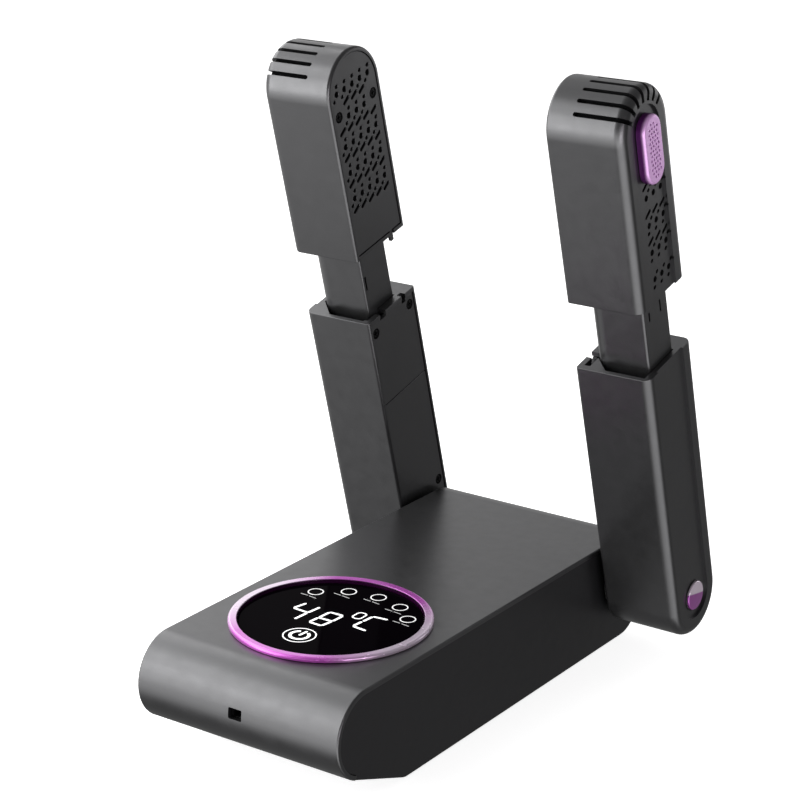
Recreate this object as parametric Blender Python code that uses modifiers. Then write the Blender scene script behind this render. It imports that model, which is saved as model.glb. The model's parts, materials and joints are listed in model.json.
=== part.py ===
"""Folding boot dryer: a fan base with two hollow arms that fold forward and telescope.

Metres, +Z up. The nose of the base points to -Y, and the floor is at Z = 0.
"""

import math

import bmesh
import bpy
from mathutils import Matrix, Vector

MM = 0.001
GAP = 0.3 * MM  # between pieces that touch
WALL = 2.2 * MM  # of every moulded shell
OVERSHOOT = 10 * MM  # how far a cutter runs past the surface it cuts

# Base
BASE_LENGTH = 257 * MM
BASE_WIDTH = 110 * MM
BASE_TOP = 56 * MM
BASE_FLOOR = 1.5 * MM  # underside of the shell, which the feet hold off the floor
NOSE_RADIUS = 20.7 * MM
RAMP_ANGLE = 21.0  # degrees, the underside's slope from the nose down to the floor
RAMP_CORNER_RADIUS = 12 * MM
REAR_TOP_RADIUS = 20.5 * MM
REAR_BOTTOM_RADIUS = 18 * MM
SIDE_RECESS = 0.8 * MM  # the side walls stand in from the ribbon's rim
NOSE_Y = -BASE_LENGTH / 2
REAR_Y = BASE_LENGTH / 2
RIBBON_X = BASE_WIDTH / 2
SIDE_X = RIBBON_X - SIDE_RECESS
NOSE_CENTRE = (NOSE_Y + NOSE_RADIUS, BASE_TOP - NOSE_RADIUS)
REAR_TOP_CENTRE = (REAR_Y - REAR_TOP_RADIUS, BASE_TOP - REAR_TOP_RADIUS)
REAR_BOTTOM_CENTRE = (REAR_Y - REAR_BOTTOM_RADIUS, BASE_FLOOR + REAR_BOTTOM_RADIUS)
RAMP_END = 270 - RAMP_ANGLE  # degrees round the nose where the ramp begins

# Display
DISPLAY_Y = NOSE_Y + 70 * MM
DISPLAY_HOLE_RADIUS = 44 * MM
RING_RADIUS = 46.5 * MM
RING_BORE = 42 * MM
RING_CREST = BASE_TOP + 2.4 * MM
LENS_THICKNESS = 2.6 * MM

# Power inlet
INLET_Z = 36.8 * MM
INLET_WIDTH = 7.0 * MM
INLET_HEIGHT = 5.0 * MM
INLET_DEPTH = 9.0 * MM

# Blower, heater and duct
BLOWER_X = -4 * MM
BLOWER_Y = -28 * MM
BLOWER_LOW = 6.6 * MM
BLOWER_HIGH = 36 * MM
IMPELLER_RADIUS = 33 * MM
IMPELLER_LOW = 9.2 * MM
IMPELLER_HIGH = 29.5 * MM
BLADES = 18
INTAKE_RADIUS = 30 * MM
DUCT_HALF_WIDTH = 20 * MM
HEATER_FRONT = 25 * MM
HEATER_REAR = 42 * MM
HEATER_FINS = 7
DUCT_X = BLOWER_X + 25 * MM
DUCT_LOW = 9 * MM
HEATER_HIGH = 36 * MM
BRANCH_HIGH = 47 * MM

# Arms: u runs up the arm from the pivot, v runs from front to back, w runs outward from the inner face
PIVOT_Y = 107 * MM
PIVOT_Z = 34.5 * MM
ARM_LEAN = 15.4  # degrees forward of upright, at rest
ARM_GAP = 3.2 * MM  # between the base's ribbon and an arm
ARM_WIDTH = 38.5 * MM
ARM_RADIUS = 20.4 * MM  # half the arm's depth, and the radius of its round ends
SLEEVE_TOP = 133 * MM
HEAD_BOTTOM = 167 * MM
HEAD_TOP = 269 * MM
COVER_SEAM = 85 * MM
OUTER_FILLET = 4.5 * MM
INNER_FILLET = 1.5 * MM
PANEL_RADIUS = 11.6 * MM  # half the width of the sunk panel on an arm's outer face
PANEL_DEPTH = 1.2 * MM
COVER_LOW = 0.4 * MM
COVER_HIGH = 2.6 * MM
CAVITY_W = ARM_WIDTH - PANEL_DEPTH - WALL

# Neck: the same moulding on both arms, so its large corner is on the left of each
NECK_FRONT = -13 * MM
NECK_BACK = 8.8 * MM
NECK_INNER = 4.9 * MM
NECK_OUTER = 34.7 * MM
NECK_WALL = 1.8 * MM
NECK_BIG_CORNER = 9 * MM
NECK_SMALL_CORNER = 1.2 * MM
NECK_LOW = 84 * MM
NECK_FLANGE = 2.4 * MM
NECK_HIGH = HEAD_BOTTOM + 9 * MM
GUIDE_HIGH = 118 * MM

# Pivot
TUBE_BORE = 8.5 * MM
TUBE_RADIUS = 10.5 * MM
PIVOT_CAP_RADIUS = 7.8 * MM

# Head
SLOT_STEP = 17.8  # degrees between the slots over the round top
SLOTS_EACH_SIDE = 3
SLOT_WIDTH = 2.0 * MM
SLOT_START_W = 14 * MM
HOLE_RADIUS = 1.2 * MM
HOLE_PITCH_V = 6.3 * MM
HOLE_PITCH_U = 13.4 * MM
HOLE_TOP_ROW = 251.8 * MM
HOLE_ROWS = 6
GRILLE_LOW = 224.5 * MM
GRILLE_HIGH = 256 * MM
GRILLE_RADIUS = 8.2 * MM
GRILLE_HEIGHT = 3.4 * MM  # above the rim of the arm's outer face
TONGUE_V = (8.8 * MM, 11.2 * MM)

# Fasteners and feet
SCREW_HEAD_RADIUS = 2.1 * MM
SCREW_HEAD_HEIGHT = 1.2 * MM
SCREW_SHANK_RADIUS = 0.9 * MM
SCREW_HOLE_RADIUS = 1.25 * MM
RECESS_RADIUS = 2.4 * MM
BOSS_RADIUS = 2.0 * MM
FOOT_RADIUS = 6.5 * MM
FOOT_X = 42 * MM
FOOT_FRONT_Y = -66 * MM
FOOT_REAR_Y = 100 * MM
BASE_SCREW_X = 46 * MM
BASE_SCREW_FRONT_Y = -50 * MM
BASE_SCREW_REAR_Y = 75 * MM

SLEEVE_SCREWS = {
    "front": (-15.3 * MM, 125 * MM),
    "rear": (14.3 * MM, 125.5 * MM),
    "low": (13.9 * MM, 21.3 * MM),
}
HEAD_SCREWS = {"front": (-14.1 * MM, 240.8 * MM), "rear": (13.7 * MM, 240.8 * MM)}


# ---------------------------------------------------------------- scene, materials and objects


def clear_scene():
    for obj in list(bpy.data.objects):
        bpy.data.objects.remove(obj, do_unlink=True)


def new_collection(name):
    collection = bpy.data.collections.new(name)
    bpy.context.scene.collection.children.link(collection)
    return collection


def new_material(name, colour, roughness, metallic=0.0):
    material = bpy.data.materials.new(name)
    material.use_nodes = True
    shader = material.node_tree.nodes["Principled BSDF"]
    shader.inputs["Base Color"].default_value = (*colour, 1.0)
    shader.inputs["Roughness"].default_value = roughness
    shader.inputs["Metallic"].default_value = metallic
    material.diffuse_color = (*colour, 1.0)
    return material


def add_object(name, shape, collection, parent=None):
    """Makes an object from a bmesh, in the frame of its parent."""
    mesh = bpy.data.meshes.new(name)
    bmesh.ops.recalc_face_normals(shape, faces=shape.faces)
    shape.to_mesh(mesh)
    shape.free()
    obj = bpy.data.objects.new(name, mesh)
    obj.parent = parent
    collection.objects.link(obj)
    return obj


def piece(name, shape, finish, parent=None, smooth=False):
    """A sub-part: one object with its own material."""
    obj = add_object(name, shape, PARTS, parent)
    obj.data.materials.append(new_material(name, *finish))
    if smooth:
        for face in obj.data.polygons:
            face.use_smooth = True
    return obj


def boolean(target, shape, operation):
    """Cuts, joins or trims a sub-part with a hidden helper in the same frame."""
    helper = add_object(f"{target.name}_{operation.lower()}", shape, CUTTERS, target.parent)
    helper.hide_render = True
    helper.display_type = "WIRE"
    modifier = target.modifiers.new(operation.title(), "BOOLEAN")
    modifier.operation = operation
    modifier.object = helper
    modifier.solver = "EXACT"


def cut(target, shape):
    boolean(target, shape, "DIFFERENCE")


def join(target, shape):
    boolean(target, shape, "UNION")


# ---------------------------------------------------------------- outlines and shapes

# How an outline's own axes lie in space, for a plate whose thickness runs along x, y or z.
TURN = {
    "x": Matrix(((0, 0, 1, 0), (1, 0, 0, 0), (0, 1, 0, 0), (0, 0, 0, 1))),
    "y": Matrix(((1, 0, 0, 0), (0, 0, -1, 0), (0, 1, 0, 0), (0, 0, 0, 1))),
    "z": Matrix.Identity(4),
}


def arc(centre, radius, start, end, steps=10):
    """Points round a circle from one angle to another, in degrees."""
    points = []
    for step in range(steps + 1):
        angle = math.radians(start + (end - start) * step / steps)
        points.append((centre[0] + radius * math.cos(angle), centre[1] + radius * math.sin(angle)))
    return points


def rounded_rectangle(low, high, radii, steps=4):
    """A rectangle with its own radius at each corner: low-left, low-right, high-right, high-left."""
    corners = ((low[0], low[1]), (high[0], low[1]), (high[0], high[1]), (low[0], high[1]))
    points = []
    for index, (corner, radius) in enumerate(zip(corners, radii)):
        inward_x = 1 if index in (0, 3) else -1
        inward_y = 1 if index in (0, 1) else -1
        centre = (corner[0] + inward_x * radius, corner[1] + inward_y * radius)
        points += arc(centre, radius, 180 + 90 * index, 270 + 90 * index, steps)
    return points


def plate(outlines, axis, low, high):
    """A flat outline, with any holes, given thickness from low to high along x, y or z."""
    curve = bpy.data.curves.new("outline", "CURVE")
    curve.dimensions = "2D"
    curve.fill_mode = "BOTH"
    curve.extrude = (high - low) / 2
    for outline in outlines:
        spline = curve.splines.new("POLY")
        spline.points.add(len(outline) - 1)
        for point, (first, second) in zip(spline.points, outline):
            point.co = (first, second, 0, 1)
        spline.use_cyclic_u = True
    drawn = bpy.data.objects.new("outline", curve)
    bpy.context.scene.collection.objects.link(drawn)
    graph = bpy.context.evaluated_depsgraph_get()
    mesh = bpy.data.meshes.new_from_object(drawn.evaluated_get(graph))
    shape = bmesh.new()
    shape.from_mesh(mesh)
    bmesh.ops.remove_doubles(shape, verts=shape.verts, dist=1e-6)
    middle = (low + high) / 2
    along = Matrix.Translation((0, 0, -middle if axis == "y" else middle))
    bmesh.ops.transform(shape, matrix=TURN[axis] @ along, verts=shape.verts)
    bpy.data.objects.remove(drawn, do_unlink=True)
    bpy.data.curves.remove(curve)
    bpy.data.meshes.remove(mesh)
    return shape


def box(low, high, shape=None):
    """A box from its low corner to its high corner, added to a shape or on its own."""
    shape = shape or bmesh.new()
    low, high = Vector(low), Vector(high)
    place = Matrix.Translation((low + high) / 2) @ Matrix.Diagonal((*(high - low), 1))
    bmesh.ops.create_cube(shape, size=1, matrix=place)
    return shape


TOWARD = {
    "x": Matrix.Rotation(math.pi / 2, 4, "Y"),
    "y": Matrix.Rotation(-math.pi / 2, 4, "X"),
    "z": Matrix.Identity(4),
}


def cylinder(axis, centre, radius, low, high, segments=16, shape=None):
    """A cylinder along x, y or z; centre holds its other two coordinates in axis order."""
    shape = shape or bmesh.new()
    middle = list(centre)
    middle.insert("xyz".index(axis), (low + high) / 2)
    place = Matrix.Translation(middle) @ TOWARD[axis]
    bmesh.ops.create_cone(
        shape, cap_ends=True, segments=segments, radius1=radius, radius2=radius, depth=high - low, matrix=place
    )
    return shape


def tube(axis, centre, outer, inner, low, high, segments=24):
    """A ring or a pipe with a plain bore."""
    outlines = [arc(centre, radius, 0, 360, segments)[:-1] for radius in (outer, inner)]
    return plate(outlines, axis, low, high)


def round_edges(shape, width, segments, chosen):
    """Bevels the sharp edges whose middles pass a test, once flat faces are whole."""
    bmesh.ops.dissolve_limit(shape, angle_limit=0.001, verts=shape.verts, edges=shape.edges)
    sharp = [edge for edge in shape.edges if edge.calc_face_angle(0) > 0.6]
    edges = [edge for edge in sharp if chosen((edge.verts[0].co + edge.verts[1].co) / 2)]
    bmesh.ops.bevel(shape, geom=edges, offset=width, segments=segments, profile=0.5, affect="EDGES")


def turned(name, profile, finish, centre, segments=48):
    """A ring or a disc turned about a vertical axis from its (radius, height) outline."""
    shape = bmesh.new()
    verts = [shape.verts.new((radius, 0, height)) for radius, height in profile]
    ends = zip(verts, verts[1:] + verts[:1])
    for first, second in ends:
        shape.edges.new((first, second))
    obj = piece(name, shape, finish, smooth=True)
    obj.location = centre
    screw = obj.modifiers.new("Turn", "SCREW")
    screw.axis = "Z"
    screw.steps = segments
    screw.render_steps = segments
    screw.use_merge_vertices = True
    screw.merge_threshold = 1e-5
    return obj


def near(value, target):
    return abs(value - target) < 1e-6


def on_outline(outline, x):
    """A test for the edges that run along an outline on a face of a plate, this far out in x."""
    ends = zip(outline, outline[1:] + outline[:1])
    middles = [((first[0] + second[0]) / 2, (first[1] + second[1]) / 2) for first, second in ends]

    def test(co):
        return near(abs(co.x), x) and any(near(co.y, y) and near(co.z, z) for y, z in middles)

    return test


# ---------------------------------------------------------------- base


def ramp_corner():
    """Centre of the arc where the ramp meets the flat floor."""
    slope = math.radians(RAMP_ANGLE)
    height = BASE_FLOOR + RAMP_CORNER_RADIUS
    fall = NOSE_RADIUS - RAMP_CORNER_RADIUS + (height - NOSE_CENTRE[1]) * math.cos(slope)
    return NOSE_CENTRE[0] - fall / math.sin(slope), height


def upper_profile(inset, nose_end=RAMP_END):
    """Side view of the rear, the top and the nose, from the rear end to the ramp."""
    rear = arc(REAR_TOP_CENTRE, REAR_TOP_RADIUS - inset, 0, 90, 6)
    nose = arc(NOSE_CENTRE, NOSE_RADIUS - inset, 90, nose_end, 14)
    return rear + nose


def lower_profile(inset):
    """Side view of the underside, from the ramp's end to the rear wall."""
    corner = arc(ramp_corner(), RAMP_CORNER_RADIUS - inset, RAMP_END, 270, 3)
    rear = arc(REAR_BOTTOM_CENTRE, REAR_BOTTOM_RADIUS - inset, 270, 360, 6)
    return corner + rear


def along_ramp(inset, distance):
    """A point on the ramp's line, this far forward of where the nose's arc ends."""
    angle = math.radians(RAMP_END)
    slope = math.radians(RAMP_ANGLE)
    radius = NOSE_RADIUS - inset
    start = (NOSE_CENTRE[0] + radius * math.cos(angle), NOSE_CENTRE[1] + radius * math.sin(angle))
    return start[0] - distance * math.cos(slope), start[1] + distance * math.sin(slope)


def base_top_shell():
    outer = upper_profile(0, RAMP_END - 1)
    inner = upper_profile(WALL, RAMP_END - 1)
    shape = plate([outer + inner[::-1]], "x", -RIBBON_X, RIBBON_X)
    round_edges(shape, 0.8 * MM, 2, on_outline(outer, RIBBON_X))
    obj = piece("base_top_shell", shape, GREY)
    posts = bmesh.new()
    for x, y in base_screw_places():
        cylinder("z", (x, y), 3 * MM, BASE_FLOOR + WALL + 2 * GAP, BASE_TOP - WALL / 2, 12, posts)
    join(obj, posts)
    holes = cylinder("z", (0, DISPLAY_Y), DISPLAY_HOLE_RADIUS, BASE_TOP - OVERSHOOT, BASE_TOP + OVERSHOOT, 48)
    for x, y in base_screw_places():
        cylinder("z", (x, y), SCREW_HOLE_RADIUS, 0, 16 * MM, 8, holes)
    half_w, half_h = INLET_WIDTH / 2 + 0.1 * MM, INLET_HEIGHT / 2 + 0.1 * MM
    box((-half_w, NOSE_Y - OVERSHOOT, INLET_Z - half_h), (half_w, NOSE_Y + 5 * MM, INLET_Z + half_h), holes)
    cut(obj, holes)


def base_screw_places():
    return [(x, y) for x in (-BASE_SCREW_X, BASE_SCREW_X) for y in (BASE_SCREW_FRONT_Y, BASE_SCREW_REAR_Y)]


def base_lower_shell():
    step = WALL + GAP
    rear_step = (REAR_Y, REAR_TOP_CENTRE[1] - GAP)
    outline = [rear_step, (REAR_Y - step, rear_step[1])] + upper_profile(step) + [along_ramp(0, 0)]
    outline += lower_profile(0)
    obj = piece("base_lower_shell", plate([outline], "x", -SIDE_X, SIDE_X), DARK)
    above = BASE_TOP + OVERSHOOT
    hollow = lower_profile(WALL)
    hollow += [(REAR_Y - WALL, above), (NOSE_Y - OVERSHOOT, above), along_ramp(WALL, 30 * MM)]
    cut(obj, plate([hollow], "x", WALL - SIDE_X, SIDE_X - WALL))
    holes = cylinder("x", (PIVOT_Y, PIVOT_Z), TUBE_RADIUS + GAP, -RIBBON_X, RIBBON_X, 32)
    cylinder("z", (BLOWER_X, BLOWER_Y), INTAKE_RADIUS, 0, 5 * MM, 40, holes)
    pockets = bmesh.new()
    for x, y in foot_places().values():
        cylinder("z", (x, y), FOOT_RADIUS + GAP, 0, 2.3 * MM, 20, pockets)
    for x, y in base_screw_places():
        cylinder("z", (x, y), SCREW_HEAD_RADIUS + GAP, 0, BASE_FLOOR + SCREW_HEAD_HEIGHT, 12, pockets)
        cylinder("z", (x, y), SCREW_HOLE_RADIUS, 0, 5 * MM, 8, holes)
    cut(obj, holes)
    cut(obj, pockets)


def foot_places():
    return {
        f"{end}_{side}": (x, y)
        for end, y in (("front", FOOT_FRONT_Y), ("rear", FOOT_REAR_Y))
        for side, x in (("left", -FOOT_X), ("right", FOOT_X))
    }


def feet():
    for where, centre in foot_places().items():
        shape = cylinder("z", centre, FOOT_RADIUS, 0, 2.0 * MM, 20)
        round_edges(shape, 0.5 * MM, 1, lambda co: near(co.z, 0))
        piece(f"foot_{where}", shape, RUBBER)


def display():
    top = BASE_TOP + GAP
    ledge = BASE_TOP - WALL - 1.8 * MM
    skirt = DISPLAY_HOLE_RADIUS - GAP
    ring = [(RING_BORE, ledge + 1.6 * MM), (RING_BORE - 2 * MM, ledge + 1.6 * MM), (RING_BORE - 2 * MM, ledge)]
    ring += [(skirt, ledge), (skirt, top), (RING_RADIUS, top)]
    ring += arc((RING_RADIUS - 1.4 * MM, RING_CREST - 1.4 * MM), 1.4 * MM, 0, 90, 3)
    ring += [(RING_BORE + 1.2 * MM, RING_CREST), (RING_BORE, RING_CREST - 1.0 * MM)]
    turned("display_ring", ring[::-1], MAGENTA, (0, DISPLAY_Y, 0), 48)
    lens_low = ledge + 1.6 * MM + GAP
    lens = cylinder("z", (0, DISPLAY_Y), RING_BORE - GAP, lens_low, lens_low + LENS_THICKNESS, 48)
    piece("display_lens", lens, BLACK_GLASS)
    board_high = ledge - 4.5 * MM
    board = cylinder("z", (0, DISPLAY_Y), 38 * MM, board_high - 1.6 * MM, board_high, 24)
    piece("display_board", board, BOARD_GREEN)


def electronics():
    board_top = INLET_Z - INLET_HEIGHT / 2 - 2 * MM
    low, high = (-44 * MM, NOSE_Y + 7 * MM), (44 * MM, NOSE_Y + 48 * MM)
    outline = rounded_rectangle(low, high, (6 * MM, 6 * MM, 2 * MM, 2 * MM), 2)
    piece("control_board", plate([outline], "z", board_top - 1.6 * MM, board_top), BOARD_GREEN)
    half_w, half_h, wall = INLET_WIDTH / 2, INLET_HEIGHT / 2, 1.5 * MM
    front = NOSE_Y + WALL + 1.1 * MM
    back = front + INLET_DEPTH
    body = box((-half_w - wall, front, INLET_Z - half_h - wall), (half_w + wall, back, INLET_Z + half_h + wall))
    inlet = piece("power_inlet", body, BLACK)
    cut(inlet, box((-half_w, front - 1 * MM, INLET_Z - half_h), (half_w, back - 1.5 * MM, INLET_Z + half_h)))


def blower():
    centre = (BLOWER_X, BLOWER_Y)
    wall = 1.6 * MM
    mouth = (DUCT_X - DUCT_HALF_WIDTH, DUCT_X + DUCT_HALF_WIDTH)
    outlet_y = HEATER_FRONT - GAP

    def outline(inset, mouth_y):
        """A spiral that widens on its way round to the mouth."""
        spiral = []
        for step in range(25):
            radius = (37 + 8 * step / 24) * MM - inset
            angle = math.radians(90 + 270 * step / 24)
            spiral.append((BLOWER_X + radius * math.cos(angle), BLOWER_Y + radius * math.sin(angle)))
        return spiral + [(mouth[1] - inset, mouth_y), (mouth[0] + inset, mouth_y)]

    housing = piece("blower_housing", plate([outline(0, outlet_y)], "z", BLOWER_LOW, BLOWER_HIGH), BLACK)
    cut(housing, plate([outline(wall, outlet_y + OVERSHOOT)], "z", BLOWER_LOW + wall, BLOWER_HIGH - wall))
    holes = cylinder("z", centre, 25 * MM, 0, BLOWER_LOW + 2 * wall, 32)
    cylinder("z", centre, 12.5 * MM, BLOWER_HIGH - 2 * wall, BLOWER_HIGH + wall, 24, holes)
    cut(housing, holes)

    motor = cylinder("z", centre, 12 * MM, 30 * MM, BLOWER_HIGH + 1 * MM, 24)
    body = piece("blower_motor", motor, STEEL)
    join(body, cylinder("z", centre, 15 * MM, BLOWER_HIGH + GAP, BLOWER_HIGH + 2.5 * MM, 24))
    cut(body, cylinder("z", centre, 1.9 * MM, 25 * MM, BLOWER_HIGH + 5 * MM, 12))

    disc_low = IMPELLER_HIGH - 1.4 * MM
    disc = cylinder("z", centre, IMPELLER_RADIUS, disc_low, IMPELLER_HIGH, 36)
    wheel = piece("impeller", disc, BLACK)
    join(wheel, cylinder("z", centre, 7 * MM, IMPELLER_LOW + 8 * MM, disc_low + 0.7 * MM, 20))
    join(wheel, cylinder("z", centre, 1.5 * MM, disc_low, BLOWER_HIGH + 1.5 * MM, 10))
    join(wheel, tube("z", centre, IMPELLER_RADIUS, IMPELLER_RADIUS - 6 * MM, IMPELLER_LOW, IMPELLER_LOW + 1.2 * MM, 36))
    blades = bmesh.new()
    for blade in range(BLADES):
        spin = Matrix.Rotation(math.tau * blade / BLADES, 4, "Z")
        place = Matrix.Translation((*centre, 0)) @ spin @ Matrix.Translation(((IMPELLER_RADIUS - 3.4 * MM), 0, 0))
        lean = Matrix.Rotation(math.radians(35), 4, "Z")
        height = disc_low - IMPELLER_LOW
        size = Matrix.Diagonal((5.2 * MM, 0.9 * MM, height, 1))
        lift = Matrix.Translation((0, 0, IMPELLER_LOW + 0.6 * MM + height / 2))
        bmesh.ops.create_cube(blades, size=1, matrix=place @ lift @ lean @ size)
    join(wheel, blades)


def intake():
    centre = (BLOWER_X, BLOWER_Y)
    radius = INTAKE_RADIUS - GAP
    grille = piece("intake_grille", cylinder("z", centre, radius, BASE_FLOOR, BASE_FLOOR + WALL, 40), BLACK)
    slots = bmesh.new()
    for row in range(-3, 4):
        y = BLOWER_Y + row * 7 * MM
        half = math.sqrt(radius**2 - (y - BLOWER_Y) ** 2) - 4 * MM
        box((BLOWER_X - half, y - 1.6 * MM, 0), (BLOWER_X + half, y + 1.6 * MM, 5 * MM), slots)
    cut(grille, slots)
    low = BASE_FLOOR + WALL + GAP
    piece("intake_filter", cylinder("z", centre, radius - 1 * MM, low, BLOWER_LOW - GAP, 24), FOAM)


def heater():
    wall = 1.4 * MM
    low, high = DUCT_LOW, HEATER_HIGH
    left, right = DUCT_X - DUCT_HALF_WIDTH, DUCT_X + DUCT_HALF_WIDTH
    outer = rounded_rectangle((left, low), (right, high), (2 * MM,) * 4, 2)
    inner = rounded_rectangle((left + wall, low + wall), (right - wall, high - wall), (1 * MM,) * 4, 2)
    piece("heater_frame", plate([outer, inner], "y", HEATER_FRONT, HEATER_REAR), BLACK)
    gap = wall + GAP
    core_low = (left + gap, HEATER_FRONT + 2 * MM, low + gap)
    core_high = (right - gap, HEATER_REAR - 2 * MM, high - gap)
    core = piece("heater_core", box(core_low, core_high), ALUMINIUM)
    pitch = (core_high[2] - core_low[2]) / HEATER_FINS
    slots = bmesh.new()
    for fin in range(HEATER_FINS):
        middle = core_low[2] + (fin + 0.5) * pitch
        low_corner = (core_low[0] + 1.5 * MM, HEATER_FRONT - OVERSHOOT, middle - pitch * 0.36)
        high_corner = (core_high[0] - 1.5 * MM, HEATER_REAR + OVERSHOOT, middle + pitch * 0.36)
        box(low_corner, high_corner, slots)
    cut(core, slots)


def air_manifold():
    """A T-shaped duct from the heater to the two pivot tubes."""
    wall = 1.6 * MM
    left, right = DUCT_X - DUCT_HALF_WIDTH, DUCT_X + DUCT_HALF_WIDTH
    end = SIDE_X - WALL - 3 * MM
    front, split, back = HEATER_REAR + GAP, PIVOT_Y - 14 * MM, PIVOT_Y + 12 * MM
    duct = piece("air_manifold", box((left, front, DUCT_LOW), (right, split + wall, HEATER_HIGH)), BLACK)
    join(duct, box((-end, split, DUCT_LOW), (end, back, BRANCH_HIGH)))
    mouth = (left + wall, front - OVERSHOOT, DUCT_LOW + wall)
    cut(duct, box(mouth, (right - wall, split + OVERSHOOT, HEATER_HIGH - wall)))
    inside = (wall - end, split + wall, DUCT_LOW + wall)
    cut(duct, box(inside, (end - wall, back - wall, BRANCH_HIGH - wall)))
    cut(duct, cylinder("x", (PIVOT_Y, PIVOT_Z), TUBE_RADIUS + GAP, -RIBBON_X, RIBBON_X, 24))


def base_screws():
    for number, (x, y) in enumerate(base_screw_places(), 1):
        seat = BASE_FLOOR + SCREW_HEAD_HEIGHT - GAP
        shape = cylinder("z", (x, y), SCREW_HEAD_RADIUS, BASE_FLOOR, seat, 12)
        screw = piece(f"base_screw_{number}", shape, STEEL)
        join(screw, cylinder("z", (x, y), SCREW_SHANK_RADIUS, seat - 0.4 * MM, seat + 11 * MM, 8))


def pivots():
    for side, sign in (("left", -1), ("right", 1)):
        centre = (PIVOT_Y, PIVOT_Z)
        inner_wall = SIDE_X - WALL
        arm_face = RIBBON_X + ARM_GAP

        def ring(outer, inner, low, high):
            near_x, far_x = sorted((sign * low, sign * high))
            return tube("x", centre, outer, inner, near_x, far_x)

        clip_low = arm_face + COVER_HIGH + GAP
        tube_end = clip_low + 3 * MM
        barrel = piece(f"{side}_pivot_tube", ring(TUBE_RADIUS, TUBE_BORE, inner_wall - 4 * MM, tube_end), BLACK)
        join(barrel, ring(TUBE_RADIUS + 2.5 * MM, TUBE_BORE + 1 * MM, inner_wall - 1.5 * MM, inner_wall - GAP))
        groove_low, groove_high = clip_low + 0.3 * MM, clip_low + 1.7 * MM
        cut(barrel, ring(TUBE_RADIUS + 2 * MM, TUBE_RADIUS - 0.7 * MM, groove_low, groove_high))
        washer = ring(TUBE_RADIUS + 4.5 * MM, TUBE_RADIUS + GAP, SIDE_X + GAP, arm_face + COVER_LOW - GAP)
        piece(f"{side}_pivot_washer", washer, RUBBER)
        clip = ring(TUBE_RADIUS + 2.2 * MM, TUBE_RADIUS - 0.4 * MM, groove_low + 0.2 * MM, groove_high - 0.2 * MM)
        piece(f"{side}_pivot_clip", clip, STEEL)


# ---------------------------------------------------------------- arms


def arm_frame(side, sign):
    """An empty on the pivot axis at the arm's inner face, with its Z up the arm."""
    empty = bpy.data.objects.new(f"{side}_arm_pivot", None)
    empty.location = (sign * (RIBBON_X + ARM_GAP), PIVOT_Y, PIVOT_Z)
    empty.rotation_euler = (math.radians(ARM_LEAN), 0, 0)
    PARTS.objects.link(empty)
    return empty


def sleeve_outline(inset, top):
    return arc((0, 0), ARM_RADIUS - inset, 180, 360, 14) + [(ARM_RADIUS - inset, top), (inset - ARM_RADIUS, top)]


def head_outline(inset, bottom):
    arch = arc((0, HEAD_TOP - ARM_RADIUS), ARM_RADIUS - inset, 0, 180, 14)
    return [(inset - ARM_RADIUS, bottom), (ARM_RADIUS - inset, bottom)] + arch


def across(sign, low, high):
    """The x range of something that lies between two distances out from the arm's inner face."""
    return sorted((sign * low, sign * high))


def arm_plate(sign, outlines, low, high):
    return plate(outlines, "x", *across(sign, low, high))


def arm_cylinder(sign, centre, radius, low, high, segments=12, shape=None):
    return cylinder("x", centre, radius, *across(sign, low, high), segments, shape)


def arm_shell(name, sign, frame, outline, flat_end):
    """A shell's solid form, with a large fillet round its outer face and a small one round its inner face."""
    shape = arm_plate(sign, [outline], 0, ARM_WIDTH)
    round_edges(shape, OUTER_FILLET, 3, lambda co: near(abs(co.x), ARM_WIDTH) and not near(co.z, flat_end))
    round_edges(shape, INNER_FILLET, 2, lambda co: near(co.x, 0) and not near(co.z, flat_end))
    return piece(name, shape, GREY, frame)


def neck_outline(sign, inset):
    """The neck's cross-section in (x, v), with its large corner at the low-x front."""
    low_x, high_x = across(sign, NECK_INNER + inset, NECK_OUTER - inset)
    radii = [max(radius - inset, 0.4 * MM) for radius in (NECK_BIG_CORNER,) + (NECK_SMALL_CORNER,) * 3]
    return rounded_rectangle((low_x, NECK_FRONT + inset), (high_x, NECK_BACK - inset), radii)


def neck_opening(sign):
    """The hole for the neck in a sleeve's top plate, which is wider in front with one cut corner."""
    low_x, high_x = across(sign, NECK_INNER - GAP, NECK_OUTER + GAP)
    front = WALL - ARM_RADIUS
    corner = NECK_BIG_CORNER + 1 * MM
    back = NECK_BACK + GAP
    return [(low_x + corner, front), (high_x, front), (high_x, back), (low_x, back), (low_x, front + corner)]


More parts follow.
